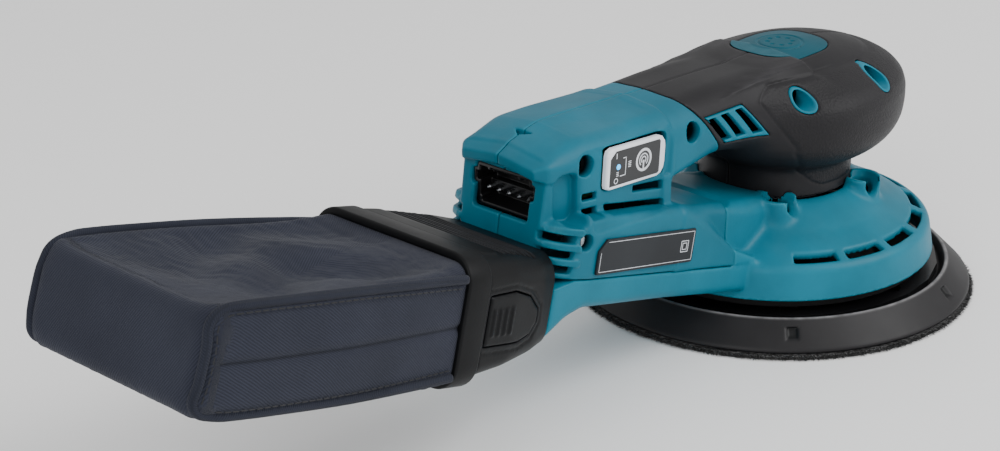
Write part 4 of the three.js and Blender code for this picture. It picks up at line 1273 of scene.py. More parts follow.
@dataclass
class Inlet:
    """The five-pin power inlet in the rear of the tail."""

    rear: float = -147.6
    floor: float = -139.5
    rim: float = 1.5

    def build(self) -> None:
        """Black socket with a rounded rim, key bulges and a deep floor."""
        g = Grid((-149, 0.0, 68.5), (-130, 16, 87), 0.3)
        outline = np.minimum(rounded(g.w, g.z - SOCKET_Z, 12.3, 7.55, 1.6),
                             rounded(g.w, g.z - SOCKET_WING_Z, 14, 2.9, 1.4))
        keys = np.minimum(rounded(g.w - 6.8, g.z - 84.6, 0.8, 1.6, 0.3),
                          rounded(g.w - 10.9, g.z - 72, 0.7, 1.4, 0.3))
        body = common(outline, between(g.x, self.rear, -131), 0.8)
        room = np.maximum(np.maximum(outline + self.rim, g.x - self.floor), -keys)
        tower = np.maximum(rounded(g.w, g.z - 76.2, 11.2, 1.7, 0.7), between(g.x, -142.2, -138))
        body = np.minimum(carve(body, room, 0.5), tower)
        # The depth values paint shade that grows from the socket's mouth towards its floor.
        piece = field_piece("inlet_body", body, g, None, {"depth": (g.x - self.rear) * 0.42})
        finish_piece(piece, INNER_BLACK, Body.HOUSING, "inlet_body")


# ---------- flat pieces and printed marks ----------


def prism(name: str, outline: Array, place: Placing, depth: tuple[float, float], bevel: float) -> Piece:
    """A plate: an outline carried through its depth, its outer edge turned over by a small bevel.

    Args:
        name: the piece's name.
        outline: (n, 2) points, anticlockwise seen from outside.
        place: turns across, up and outward millimetres into points of the row frame.
        depth: inner and outer face.
        bevel: size of the bevel.
    Returns:
        The object, closed by a fan at each end.
    """
    low, high = depth
    middle = outline.mean(0)
    away = outline - middle
    shrink = 1 - bevel / np.maximum(np.linalg.norm(away, axis=1, keepdims=True), bevel * 2)
    rows = [(outline, low), (outline, high - bevel), (middle + away * (1 + shrink) / 2, high - bevel * 0.3),
            (middle + away * shrink, high)]
    flat = np.concatenate([np.column_stack([ring, np.full(len(ring), d)]) for ring, d in rows]
                          + [[[*middle, low], [*middle, high]]])
    return mesh_piece(name, place(*flat.T), tube_faces(len(rows), len(outline)), smooth=False)


def rounded_outline(half_a: float, half_b: float, radius: float, steps: int = 6) -> Array:
    """Rounded rectangle about nought: a quarter turn of points at each corner.

    Args:
        half_a: half width.
        half_b: half height.
        radius: corner radius.
        steps: points in a corner.
    Returns:
        (n, 2) points, anticlockwise.
    """
    turn = np.linspace(0, math.pi / 2, steps)
    parts = []
    for corner, (sa, sb) in enumerate(((1, 1), (-1, 1), (-1, -1), (1, -1))):
        angle = turn + corner * math.pi / 2
        parts.append(np.column_stack([sa * (half_a - radius) + radius * np.cos(angle),
                                      sb * (half_b - radius) + radius * np.sin(angle)]))
    return np.concatenate(parts)


def flank_place(x: float, z: float, pitch: float) -> Placing:
    """Placing on the right flank: across runs forward, leaning down by pitch, and outward is -Y.

    Args:
        x: X of the middle.
        z: Z of the middle.
        pitch: the lean.
    Returns:
        The function that does it.
    """
    c, s = math.cos(pitch), math.sin(pitch)

    def place(a: Array, b: Array, d: Array) -> Array:
        """Turns a and b by the lean and sets them d out from the middle plane."""
        return np.column_stack([x + a * c + b * s, -d, z - a * s + b * c])

    return place


def ring_strip(radius: float, width: float, start: float, end: float, steps: int = 40) -> list[Array]:
    """Cuts an arc-shaped mark into short four-sided outlines.

    Args:
        radius: middle of the stroke.
        width: its width.
        start: where it starts, in degrees.
        end: where it ends.
        steps: how many outlines.
    Returns:
        The outlines.
    """
    angles = np.linspace(math.radians(start), math.radians(end), steps + 1)
    inner, outer = radius - width / 2, radius + width / 2
    return [np.array([(inner * np.cos(a), inner * np.sin(a)), (outer * np.cos(a), outer * np.sin(a)),
                      (outer * np.cos(b), outer * np.sin(b)), (inner * np.cos(b), inner * np.sin(b))])
            for a, b in zip(angles[:-1], angles[1:])]


def bar(a: float, b: float, half_a: float, half_b: float) -> Array:
    """Rectangular mark about a point, as an outline."""
    corners = np.array([(-1, -1), (1, -1), (1, 1), (-1, 1)])
    return np.array([a, b]) + corners * np.array([half_a, half_b])


def marks_piece(name: str, outlines: Sequence[Array], place: Placing, low: float, high: float) -> Piece:
    """Printed marks: each four-sided outline becomes a very thin closed block, all in one mesh.

    Args:
        name: the piece's name.
        outlines: (4, 2) corners of each mark.
        place: turns across, up and outward millimetres into points of the row frame.
        low: inner face.
        high: outer face.
    Returns:
        The object.
    """
    flat = np.array(outlines, float)
    count = len(flat)
    layers = [np.concatenate([flat, np.full((count, 4, 1), level)], 2) for level in (low, high)]
    points = np.concatenate(layers, 1).reshape(-1, 3)
    return mesh_piece(name, place(*points.T), block_faces(count), smooth=False)


@dataclass
class SwitchPlate:
    """The pressed switch plate: white carrier, black face, printed marks and lamp."""

    outer: float = 23.6
    inner: float = 21.6
    lens_radius: float = 1.05

    def build(self) -> None:
        """Makes the carrier, the face, its marks and the lamp's lens."""
        place = flank_place(SWITCH_X, SWITCH_Z, SWITCH_LEAN)
        carrier = np.array([(-13.9, -7.1), (10.6, -7.1), (12.6, -6.3), (13.9, -4.6), (14.3, -2.4),
                            (14.3, 3.0), (13.9, 5.0), (12.6, 6.5), (10.8, 7.1), (-13.2, 7.1), (-15.2, 6.3),
                            (-15.75, 4.8), (-15.75, -5.2), (-15.3, -6.6)])
        plate = prism("switch_plate", carrier, place, (self.inner, self.outer), 0.7)
        finish_piece(plate, WHITE, Body.SWITCH, "switch_plate")
        face = np.array([(-14.4, -5.9), (10.4, -5.9), (11.1, -5.3), (11.1, 5.4), (10.4, 6.0), (-11.8, 6.0),
                         (-14.4, 3.6)])
        inlay = prism("switch_face", face, place, (23.2, self.outer + 0.08), 0.12)
        finish_piece(inlay, FACE, Body.SWITCH, "switch_face")
        self.print_marks(place)
        lens = prism("led_lens", ellipse_ring(self.lens_radius, self.lens_radius, 24),
                     flank_place(-118.2, 83.9, 0.0), (self.inner, self.outer + 0.35), 0.35)
        finish_piece(lens, LED, Body.SWITCH, "led_lens")

    def print_marks(self, place: Placing) -> None:
        """Prints the start mark, the stop ring, a link bracket and a round emblem with nested arcs.

        Args:
            place: the plate's own placing.
        """
        outlines = [bar(-11.4, 4.3, 0.16, 0.95)]
        outlines += [o + (-11.2, -4.3) for o in ring_strip(0.85, 0.3, 0, 360, 20)]
        outlines += [bar(-6.6, 1.0, 0.14, 2.2), bar(-7.3, 3.1, 0.8, 0.14), bar(-7.9, -2.9, 1.4, 0.14),
                     bar(-6.6, -2.0, 0.14, 0.9)]
        outlines += [bar(-4.6, 1.3 - 0.6 * k, 0.7, 0.14) for k in range(4)]
        outlines += [bar(-10.6, -1.4 - 0.6 * k, 0.55, 0.14) for k in range(3)]
        centre = np.array((2.6, 0.4))
        outlines += [o + centre for o in ring_strip(3.55, 0.9, 0, 360, 44)]
        outlines += [o + centre for r in (1.1, 2.1) for o in ring_strip(r, 0.42, -50, 230, 24)]
        outlines += [bar(centre[0], centre[1] - 1.6, 0.34, 1.5)]
        marks = marks_piece("switch_marks", outlines, place, self.outer + 0.02, self.outer + 0.13)
        finish_piece(marks, MARKS, Body.SWITCH)


@dataclass
class RatingPlate:
    """The flank's data plate, with a cut corner, a printed border and a double square."""

    x: float = -108.6
    z: float = 52.5
    lean: float = math.radians(12)
    squares: tuple[float, float] = (1.9, 1.1)

    def build(self) -> None:
        """Makes the plate and its plain border."""
        place = flank_place(self.x, self.z, self.lean)
        outline = np.array([(-25.2, -5.9), (25.0, -5.9), (25.5, -5.4), (25.5, 5.4), (25.0, 5.9), (-21.8, 5.9),
                            (-25.5, 2.1), (-25.5, -5.4)])
        plate = prism("rating_plate", outline, place, (28.2, 29.1), 0.25)
        finish_piece(plate, LABEL, Body.HOUSING, "rating_plate")
        lines = [bar(1.6, 5.0, 23.0, 0.09), bar(0, -5.0, 24.6, 0.09), bar(24.6, 0, 0.09, 5.0),
                 bar(-24.6, -1.7, 0.09, 3.3)]
        for half in self.squares:
            lines += [bar(20, half, half, 0.12), bar(20, -half, half, 0.12), bar(20 - half, 0, 0.12, half),
                      bar(20 + half, 0, 0.12, half)]
        marks = marks_piece("plate_border", lines, place, 29.08, 29.16)
        finish_piece(marks, MARKS, Body.HOUSING)


# ---------- pad ----------


def lathe(name: str, profile: Array, centre: tuple[float, float], sides: int,
          shift: Callable[[Array, Array], Array] | None = None) -> Piece:
    """Turned piece: each profile point (radius, z) goes round the axis, and its ends lie on the axis.

    Args:
        name: the piece's name.
        profile: (n, 2) points from the axis at the bottom, out and round, to the axis at the top.
        centre: X and Y of the axis.
        sides: steps round the axis.
        shift: gives a change of radius and height from arrays of profile place and angle.
    Returns:
        The object, with one shared point at each pole.
    """
    angle = np.linspace(0, 2 * math.pi, sides, endpoint=False)
    rows = len(profile) - 2
    ring = np.repeat(profile[1:-1, None].astype(float), sides, 1)
    turn = np.repeat(angle[None], rows, 0)
    if shift is not None:
        ring = shift(ring, turn)
    radius, height = ring[..., 0], ring[..., 1]
    round_about = [centre[0] + radius * np.cos(turn), centre[1] + radius * np.sin(turn), height]
    ends = np.array([(*centre, profile[0, 1]), (*centre, profile[-1, 1])])
    points = np.concatenate([np.stack(round_about, -1).reshape(-1, 3), ends])
    return mesh_piece(name, points, tube_faces(rows, sides))


def resampled(points: Sequence[tuple[float, float]], spacing: float) -> Array:
    """Adds points at even spacing to a chain of straight runs, keeping its corners.

    Args:
        points: the chain's corners.
        spacing: about how far apart, in millimetres.
    Returns:
        (n, 2) points.
    """
    chain = np.array(points, float)
    parts = [chain[:1]]
    for a, b in zip(chain[:-1], chain[1:]):
        steps = max(int(np.linalg.norm(b - a) / spacing), 1)
        parts.append(a + (b - a) * (np.arange(1, steps + 1) / steps)[:, None])
    return np.concatenate(parts)


@dataclass
class Pad:
    """The round pad: rubber body with windows round its rim, and the hook sheet with its frayed edge."""

    windows: int = 6
    window_start: float = math.radians(-136.3)
    window_half: float = 1.9
    window_depth: float = 1.7
    sides: int = 720
    tufts: int = 5200

    def rim(self, place: Array, turn: Array) -> Array:
        """Pushes rectangular windows into the sloping rim: a step inward inside each rectangle.

        Args:
            place: radius and height of each point.
            turn: its angle round the axis.
        Returns:
            The moved radius and height.
        """
        step = 2 * math.pi / self.windows
        off = (turn - self.window_start + step / 2) % step - step / 2
        across = np.abs(off) * place[..., 0] - self.window_half
        up = np.abs(place[..., 1] - 8.0) - 1.5
        depth = self.window_depth * np.clip(0.5 - np.maximum(across, up) / 0.9, 0, 1) * (place[..., 0] > 68)
        moved = place.copy()
        moved[..., 0] -= depth
        return moved

    def build(self) -> None:
        """Makes the rubber body, the hook sheet and its tufts."""
        centre = (ORBIT_X, ORBIT_Y)
        rim = resampled([(73.4, 2.0), (74.0, 2.0), (74.8, 2.3), (75.1, 3.2), (74.6, 4.0), (66.7, 11.8),
                         (66.3, 12.1), (65.5, 12.1), (65.1, 11.7), (63.6, 8.9), (63.0, 8.5)], 0.45)
        profile = np.concatenate([[(0, 2.0), (30, 2.0), (60, 2.0)], rim, [(40, 8.5), (0, 8.5)]])
        body = lathe("foam_pad", profile, centre, self.sides, self.rim)
        count = len(body.data.vertices)
        co = np.empty(count * 3, np.float32)
        body.data.vertices.foreach_get("co", co)
        co = co.reshape(-1, 3) / MM
        radius = np.hypot(co[:, 0] - centre[0], co[:, 1] - centre[1])
        slope_radius = 66.7 + (11.8 - co[:, 2]) * (74.6 - 66.7) / 7.8
        # The rim's top edge is marked to take a painted highlight line.
        set_values(body, "edge", np.clip((co[:, 2] - 11.75) * 4, 0, 1) * (radius > 65.4))
        # Painted shade inside the rim's windows, where they are pushed in.
        sunk = np.clip(slope_radius - radius - 0.5, 0, 1) * (co[:, 2] > 4.5) * (radius > 66)
        set_values(body, "depth", 6 * sunk)
        finish_piece(body, RUBBER, Body.PAD, "foam_pad")
        self.sheet(centre)

    def sheet(self, centre: tuple[float, float]) -> None:
        """Makes the hook sheet, whose edge wanders by a few tenths, and the loose tufts round it.

        Args:
            centre: X and Y of the pad's axis.
        """
        rng = np.random.default_rng(7)
        wander = np.convolve(rng.normal(0, 1, self.sides + 8), np.ones(5) / 5, "same")[: self.sides]
        other = rng.normal(0, 1, self.sides)

        def fray(place: Array, turn: Array) -> Array:
            """Moves radius and height (place) in and out by the two random rows, read at the angle turn."""
            moved = place.copy()
            index = np.round(turn / (2 * math.pi) * self.sides).astype(int) % self.sides
            moved[..., 0] += (0.35 * wander[index] + 0.12 * other[index]) * (place[..., 0] > 74)
            return moved

        edge = resampled([(73.6, 0), (75.2, 0), (75.6, 0.5), (75.5, 1.3), (75.0, 1.7), (73.0, 1.7)], 0.4)
        profile = np.concatenate([[(0, 0), (30, 0), (60, 0)], edge, [(40, 1.7), (0, 1.7)]])
        sheet = lathe("hook_sheet", profile, centre, self.sides, fray)
        finish_piece(sheet, PILE, Body.PAD, "hook_sheet")
        angle = rng.uniform(0, 2 * math.pi, self.tufts)
        lean, swing = rng.uniform(0.3, 2.1, self.tufts), rng.normal(0, 0.7, self.tufts)
        root = np.stack([75.2 * np.cos(angle), 75.2 * np.sin(angle), rng.uniform(0.4, 1.6, self.tufts)], 1)
        out = np.stack([np.cos(angle), np.sin(angle), np.zeros_like(angle)], 1)
        side = np.stack([-np.sin(angle), np.cos(angle), np.zeros_like(angle)], 1)
        tip = root + out * lean[:, None] + side * swing[:, None]
        tip[:, 2] = np.clip(tip[:, 2] + rng.normal(0, 0.5, self.tufts), 0.15, 2.4)
        thick = 0.3 * side
        corners = np.stack([root + thick, root - thick, root + np.array([0, 0, 0.3]), tip], 1)
        points = corners.reshape(-1, 3) + np.array([*centre, 0.0])
        faces = np.array([(0, 3, 2), (2, 3, 1), (1, 3, 0), (0, 2, 1)])
        faces = (faces[None] + 4 * np.arange(self.tufts)[:, None, None]).reshape(-1, 3)
        tufts = mesh_piece("hook_tufts", points, faces)
        finish_piece(tufts, PILE, Body.PAD)


# ---------- dust bag ----------


def duct_place(u: Array, across: Array, v: Array) -> Array:
    """Points of the row frame from the pitched axis: u runs rearward along it and v is square to it."""
    c, s = math.cos(PITCH), math.sin(PITCH)
    return np.stack([-u * c + v * s, across, u * s + v * c], -1)


def ring_coordinates(count: int, half: Array, low: Array, high: Array, radius: float) -> tuple[Array, Array]:
    """Rounded rectangle walked at even spacing, for many sizes at once.

    Args:
        count: points round the ring, starting at the middle of the top.
        half: half width of each ring.
        low: bottom of each ring.
        high: top of each ring.
        radius: corner radius.
    Returns:
        Across and up, one row for each ring.
    """
    unit = np.linspace(0, 1, count, endpoint=False)
    w, h = half[:, None] - radius, (high - low)[:, None] / 2 - radius
    arc = math.pi * radius / 2
    total = 4 * w + 4 * h + 4 * arc
    s = unit[None] * total
    across, up = np.zeros_like(s), np.zeros_like(s)
    marks = [0 * w, w, w + arc, w + arc + 2 * h, w + 2 * arc + 2 * h, 3 * w + 2 * arc + 2 * h,
             3 * w + 3 * arc + 2 * h,
             3 * w + 3 * arc + 4 * h, 3 * w + 4 * arc + 4 * h, total]
    runs = [((0, 1), (-1, 0), None), ((-1, 1), None, 90), ((-1, 1), (0, -1), None), ((-1, -1), None, 180),
            ((-1, -1), (1, 0), None), ((1, -1), None, 270), ((1, -1), (0, 1), None), ((1, 1), None, 0),
            ((1, 1), (-1, 0), None)]
    for k, (corner, direction, turn) in enumerate(runs):
        here = (s >= marks[k]) & (s <= marks[k + 1])
        t = s - marks[k]
        if turn is None:
            a = corner[0] * w + (corner[0] * radius if direction[0] == 0 else 0) + direction[0] * t
            b = corner[1] * h + (corner[1] * radius if direction[1] == 0 else 0) + direction[1] * t
        else:
            angle = math.radians(turn) + t / radius
            a, b = corner[0] * w + radius * np.cos(angle), corner[1] * h + radius * np.sin(angle)
        across, up = np.where(here, a, across), np.where(here, b, up)
    return across, up + (high + low)[:, None] / 2


def sweep(name: str, path: Array, out: Array, profile: Array, closed: bool) -> Piece:
    """A closed profile carried along a path.

    Args:
        name: the piece's name.
        path: (n, 3) points in millimetres.
        out: (n, 3) outward directions.
        profile: (m, 2) ring: outward, and sideways along the cross product of path and outward.
        closed: whether the path runs back into itself.
    Returns:
        The object, with its ends closed by fans when the path is open.
    """
    ahead = unit(np.roll(path, -1, 0) - np.roll(path, 1, 0) if closed else np.gradient(path, axis=0))
    out = unit(out - (out * ahead).sum(1, keepdims=True) * ahead)
    aside = np.cross(ahead, out)
    rings = path[:, None] + out[:, None] * profile[None, :, :1] + aside[:, None] * profile[None, :, 1:]
    n, m = len(path), len(profile)
    if closed:
        points = rings.reshape(-1, 3)
        quads = ring_quads(n + 1, m) % (n * m)
        faces = np.concatenate([quads[:, [0, 1, 2]], quads[:, [0, 2, 3]]])
    else:
        points = np.concatenate([rings.reshape(-1, 3), [rings[0].mean(0)], [rings[-1].mean(0)]])
        faces = tube_faces(n, m)
    piece = mesh_piece(name, points, outward(points, faces))
    along = np.concatenate([[0], np.cumsum(np.linalg.norm(np.diff(path, axis=0), axis=1))])
    places = np.zeros((len(points), 2))
    places[:n * m] = np.stack(np.meshgrid(along, np.linspace(0, 8, m), indexing="ij"), -1).reshape(-1, 2)
    set_map(piece, places * MM)
    return piece


def ellipse_ring(half_out: float, half_side: float, count: int = 14) -> Array:
    """Oval profile as a ring of points."""
    angle = np.linspace(0, 2 * math.pi, count, endpoint=False)
    return np.column_stack([half_out * np.cos(angle), half_side * np.sin(angle)])


@dataclass
class DustBag:
    """Cloth bag: a lofted shell that sags between its bound edges, its bindings and their stitching.

    A ring of points runs round the bag from the middle of its top.
    """

    around: int = 144
    corner: float = 6.0
    rear: float = 319.0
    turn: float = 6.0
    sag: float = 6.4
    frames: int = 24
    reach: float = 6.0
    first_bound: int = 3
    tape_radius: float = 1.5
    stitch_long: float = 2.1
    stitch_step: float = 2.9

    def rings(self) -> tuple[Array, Array]:
        """Spaces the rings: straight to the rear, round its turn, and in towards the middle of the rear.

        Returns:
            The place of each ring along the bag, and how far it is drawn in.
        """
        straight = np.arange(205.0, self.rear - self.turn, 1.7)
        angle = np.linspace(0, math.pi / 2, 7)[1:]
        bend_u = self.rear - self.turn + self.turn * np.sin(angle)
        bend_in = self.turn * (1 - np.cos(angle))
        inward = np.linspace(self.turn + 1.4, 15.2, 7)
        u = np.concatenate([straight, bend_u, np.full(len(inward), self.rear)])
        drawn = np.concatenate([np.zeros(len(straight)), bend_in, inward])
        return u, drawn

    def flat_form(self) -> tuple[Array, int]:
        """Lofts the bag before it sags.

        Returns:
            Its rings of points, and the number of the ring at its rear edge.
        """
        u, drawn = self.rings()
        half = eased(u, (205, 212, 262, 300, 319), (32.6, 33.6, 38.2, 39.4, 38.6), 3.0) - drawn
        low = eased(u, (205, 212, 262, 319), (-12.8, -13.2, -11.6, -10.0), 3.0) + drawn
        high = eased(u, (205, 212, 262, 300, 319), (26.2, 26.8, 24.8, 23.4, 22.4), 3.0) - drawn
        radius = np.minimum(self.corner, 0.45 * (high - low))
        pairs = [ring_coordinates(self.around, *row[:3, None], float(row[3]))
                 for row in np.stack([half, low, high, radius], 1)]
        across = np.concatenate([p[0] for p in pairs])
        up = np.concatenate([p[1] for p in pairs])
        lean = 0.10 * (up - 6.0) * np.clip((u[:, None] - 250) / 69, 0, 1)
        grid = duct_place(np.repeat(u[:, None], self.around, 1) - lean, across, up)
        return grid, int(np.argmax(drawn > 1.7))

    def drape(self, grid: Array) -> Array:
        """Lets the cloth settle: a short cloth run held at the collar and along the bound edges.

        The cloth is cut a little larger than its frame, so that it buckles into folds, and no point may go
        further than a set reach from where it started.

        Args:
            grid: rings of points.
        Returns:
            The settled rings.
        """
        rows, count = grid.shape[:2]
        cloth = mesh_piece("bag_drape", grid.reshape(-1, 3), ring_quads(rows, count))
        hold = np.round(self.holding(rows), 2).ravel()
        group = cloth.vertex_groups.new(name="hold")
        for level in np.unique(hold):
            group.add(np.flatnonzero(np.abs(hold - level) < 1e-6).tolist(), float(level), "REPLACE")
        modifier = cloth.modifiers.new("cloth", "CLOTH")
        settings = modifier.settings
        settings.quality = 6
        settings.mass = 0.25
        settings.tension_stiffness = settings.compression_stiffness = 12
        settings.shear_stiffness = 6
        settings.bending_stiffness = 12.0
        settings.vertex_group_mass = "hold"
        settings.shrink_min = -0.025
        modifier.collision_settings.use_collision = False
        modifier.point_cache.frame_start, modifier.point_cache.frame_end = 1, self.frames
        for number in range(1, self.frames + 1):
            bpy.context.scene.frame_set(number)
        settled = cloth.evaluated_get(bpy.context.evaluated_depsgraph_get()).data
        co = np.empty(rows * count * 3, np.float32)
        settled.vertices.foreach_get("co", co)
        bpy.data.objects.remove(cloth)
        bpy.context.scene.frame_set(1)
        move = co.reshape(rows, count, 3).astype(float) / MM - grid
        length = np.maximum(np.linalg.norm(move, axis=-1, keepdims=True), 1e-9)
        return grid + move * np.minimum(1, self.reach * np.tanh(length / self.reach) / length)

    def holding(self, rows: int) -> Array:
        """Holds the cloth fully at the collar, well along its bound edges and flanks, and loosely elsewhere.

        Args:
            rows: how many rings there are.
        Returns:
            How firmly each point is held, from nought to one.
        """
        ring = np.arange(self.around)
        edge = np.min(np.abs(ring[:, None] - np.array(self.edge_columns())[None]), 1)
        bound = np.exp(-((edge / 2.2) ** 2)) * 0.95
        a, b, c, d = self.edge_columns()
        flank = ((ring > a) & (ring < b)) | ((ring > c) & (ring < d))
        bound = np.maximum(bound, np.where(flank, 0.9, 0.35))
        row = np.arange(rows)[:, None]
        collar = np.clip(1 - (row - 4) / 6, 0, 1)
        back = np.clip((row - (rows - 15)) / 3, 0, 1) * 0.8
        return np.clip(np.maximum(np.maximum(bound[None], collar), back), 0.0, 1.0)

    def edge_columns(self) -> tuple[int, int, int, int]:
        """Finds the corners of a ring by their share of its whole length.

        Returns:
            Point numbers of the four bound edges: top right, bottom right, bottom left, top left.
        """
        whole = 2 * (76.4 + 36.4) - 8 * self.corner + 2 * math.pi * self.corner
        to_corner = 38.2 - self.corner + math.pi * self.corner / 4
        side = 36.4 - 2 * self.corner + math.pi * self.corner / 2
        a = round(to_corner / whole * self.around)
        b = round((to_corner + side) / whole * self.around)
        return a, b, self.around - b, self.around - a

    def shaped(self, grid: Array) -> Array:
        """Adds the sewn shape.

        The top and the bottom dish by one less the cube of the place across, times a sine along the bag.
        Sine waves under bell-shaped weights make broad folds, and each flank has a crease along its middle.

        Args:
            grid: rings of points.
        Returns:
            The shaped rings.
        """
        rows, count = grid.shape[:2]
        along = np.clip(np.linspace(-0.06, 1.12, rows), 0, 1)[:, None]
        a, b, c, d = self.edge_columns()
        ring = np.arange(count)[None]
        top_place = np.where(ring <= a, ring / a, np.where(ring >= d, (count - ring) / (count - d), 1.0))
        side_place = np.where(ring > c, 1.0, np.abs(ring - (a + b) / 2) / ((b - a) / 2))
        side_left = np.abs(ring - (c + d) / 2) / ((d - c) / 2)
        dish = (1 - np.clip(top_place, 0, 1) ** 3) * np.sin(math.pi * along) ** 0.6
        signed = np.where(ring < count / 2, ring, ring - count)
        folds = 3.0 * np.sin(signed * 0.19 + along * 8.0 + 0.6) * np.exp(-((along - 0.25) / 0.17) ** 2)
        folds += 1.9 * np.sin(signed * 0.27 - along * 11.0 + 2.0) * np.exp(-((along - 0.5) / 0.2) ** 2)
        folds += 0.9 * np.sin(signed * 0.16 + along * 16.0)
        normal = self.normals(grid)
        upward = self.sag * dish - folds * dish
        crease = np.exp(-((np.minimum(side_place, side_left) / 0.05) ** 2)) * 1.3
        full = (1 - np.clip(np.minimum(side_place, side_left), 0, 1) ** 2) * 0.9 * np.sin(math.pi * along)
        move = (full - crease - upward)[..., None] * normal
        return grid + move * np.clip(1 - (np.arange(rows) - (rows - 14)) / 3, 0, 1)[:, None, None]

    @staticmethod
    def normals(grid: Array) -> Array:
        """Works out outward directions: the cross product of the run round the ring and the run along.

        Args:
            grid: rings of points.
        Returns:
            A direction at each point.
        """
        out = unit(np.cross(np.roll(grid, -1, 1) - np.roll(grid, 1, 1), np.gradient(grid, axis=0)))
        middle = grid.mean(1, keepdims=True)
        sign = np.sign(((grid - middle) * out).sum(-1, keepdims=True).mean())
        return out * (sign if sign else 1.0)

    def build(self) -> None:
        """Makes the bag's shell, its bindings and its stitching."""
        grid, rear_row = self.flat_form()
        grid = self.shaped(grid)
        grid = self.drape(grid)
        self.shell(grid)
        self.bindings(grid, rear_row)

    def shell(self, grid: Array) -> None:
        """Closes the rear, and gives the cloth its thickness and its woven map.

        Args:
            grid: rings of points.
        """
        rows, count = grid.shape[:2]
        last = np.arange((rows - 1) * count, rows * count)
        quads = np.concatenate([ring_quads(rows, count), self.rear_panel(last, count // 2)])
        piece = mesh_piece("dust_bag", grid.reshape(-1, 3), outward(grid.reshape(-1, 3), quads))
        step = np.linalg.norm(np.roll(grid, -1, 1) - grid, axis=-1)
        arc = np.concatenate([np.zeros((rows, 1)), np.cumsum(step, 1)[:, :-1]], 1)
        arc = np.minimum(arc, arc[:, -1:] + step[:, -1:] - arc)
        u = np.cumsum(np.concatenate([[0], np.linalg.norm(np.diff(grid, axis=0), axis=-1).mean(1)]))
        places = np.stack([arc, np.repeat(u[:, None], count, 1)], -1)
        on_rear = (np.arange(rows) > rows - 14)[:, None, None]
        places = np.where(on_rear, grid[..., 1:3] + np.array([0.0, u[-14]]), places)
        set_map(piece, places.reshape(-1, 2) * MM)
        a, b, c, d = self.edge_columns()
        ring = np.arange(count)
        off = np.minimum(np.abs(ring - (a + b) / 2), np.abs(ring - (c + d) / 2))
        flank_rows = (np.arange(rows) < rows - 13)[:, None]
        # Painted shade along the crease down the middle of each flank.
        set_values(piece, "depth", 2.3 * np.clip(1.2 - off / 0.9, 0, 1)[None] * flank_rows)
        thick = piece.modifiers.new("cloth thickness", "SOLIDIFY")
        thick.thickness, thick.offset = 1.1 * MM, -1.0
        smooth = piece.modifiers.new("smooth", "SUBSURF")
        smooth.levels = smooth.render_levels = 1
        finish_piece(piece, CLOTH, Body.BAG, "dust_bag")

    @staticmethod
    def rear_panel(ring: Array, half: int) -> Array:
        """Joins the last ring's top half to its bottom half, straight down the flat rear panel.

        Args:
            ring: point numbers of the last ring.
            half: half as many as there are.
        Returns:
            The quads.
        """
        quarter, step = half // 2, np.arange(half)
        top, bottom = ring[step - quarter], ring[half + quarter - 1 - step]
        return np.stack([top[:-1], top[1:], bottom[1:], bottom[:-1]], 1)

    def bindings(self, grid: Array, rear_row: int) -> None:
        """Binds each flank: back along its top edge from the collar, down at the rear, and forward below.

        Args:
            grid: rings of points.
            rear_row: number of the ring at the rear edge.
        """
        normal = self.normals(grid)
        a, b, c, d = self.edge_columns()
        for name, top, bottom in (("right", a, b), ("left", d, c)):
            rows = np.arange(self.first_bound, rear_row + 1)
            step = 1 if bottom > top else -1
            columns = np.arange(top, bottom + step, step)
            track = np.concatenate([np.stack([rows, np.full(len(rows), top)], 1),
                                    np.stack([np.full(len(columns), rear_row), columns], 1),
                                    np.stack([rows[::-1], np.full(len(rows), bottom)], 1)])
            path, out = grid[tuple(track.T)], normal[tuple(track.T)]
            path, out = self.softened(path, 5), self.softened(out, 5)
            round_tape = ellipse_ring(self.tape_radius, self.tape_radius)
            tape = sweep(f"bag_binding_{name}", path + out * 0.5, out, round_tape, False)
            finish_piece(tape, TAPE, Body.BAG)
            inward = np.cross(unit(np.gradient(path, axis=0)), out) * (1 if name == "left" else -1)
            self.stitches(f"bag_stitches_{name}", path + out * 0.1 + inward * 2.7, out)

    @staticmethod
    def softened(values: Array, width: int) -> Array:
        """Averages a track over its neighbours, with its ends repeated.

        Args:
            values: (n, 3) values along the track.
            width: neighbours to each side.
        Returns:
            The averaged track.
        """
        padded = np.pad(values, ((width, width), (0, 0)), "edge")
        kernel = np.ones(2 * width + 1) / (2 * width + 1)
        return np.stack([np.convolve(padded[:, k], kernel, "valid") for k in range(values.shape[1])], 1)

    def stitches(self, name: str, path: Array, out: Array) -> None:
        """Sews a row of small thread blocks along a track.

        Args:
            name: the piece's name.
            path: (n, 3) points of the track.
            out: outward direction at each.
        """
        length = np.concatenate([[0], np.cumsum(np.linalg.norm(np.diff(path, axis=0), axis=1))])
        spots = np.arange(2.0, length[-1] - 2.0, self.stitch_step)
        at, nose, up = (np.stack([np.interp(place, length, row) for row in values.T], 1)
                        for place, values in ((spots, path), (spots + self.stitch_long, path), (spots, out)))
        lift, wide = up * 0.14, unit(np.cross(nose - at, up)) * 0.17
        corners = np.stack([at - wide - lift, at + wide - lift, nose + wide - lift, nose - wide - lift,
                            at - wide + lift, at + wide + lift, nose + wide + lift, nose - wide + lift], 1)
        corners = corners.reshape(-1, 3)
        piece = mesh_piece(name, corners, outward(corners, block_faces(len(spots))), smooth=False)
        finish_piece(piece, THREAD, Body.BAG)


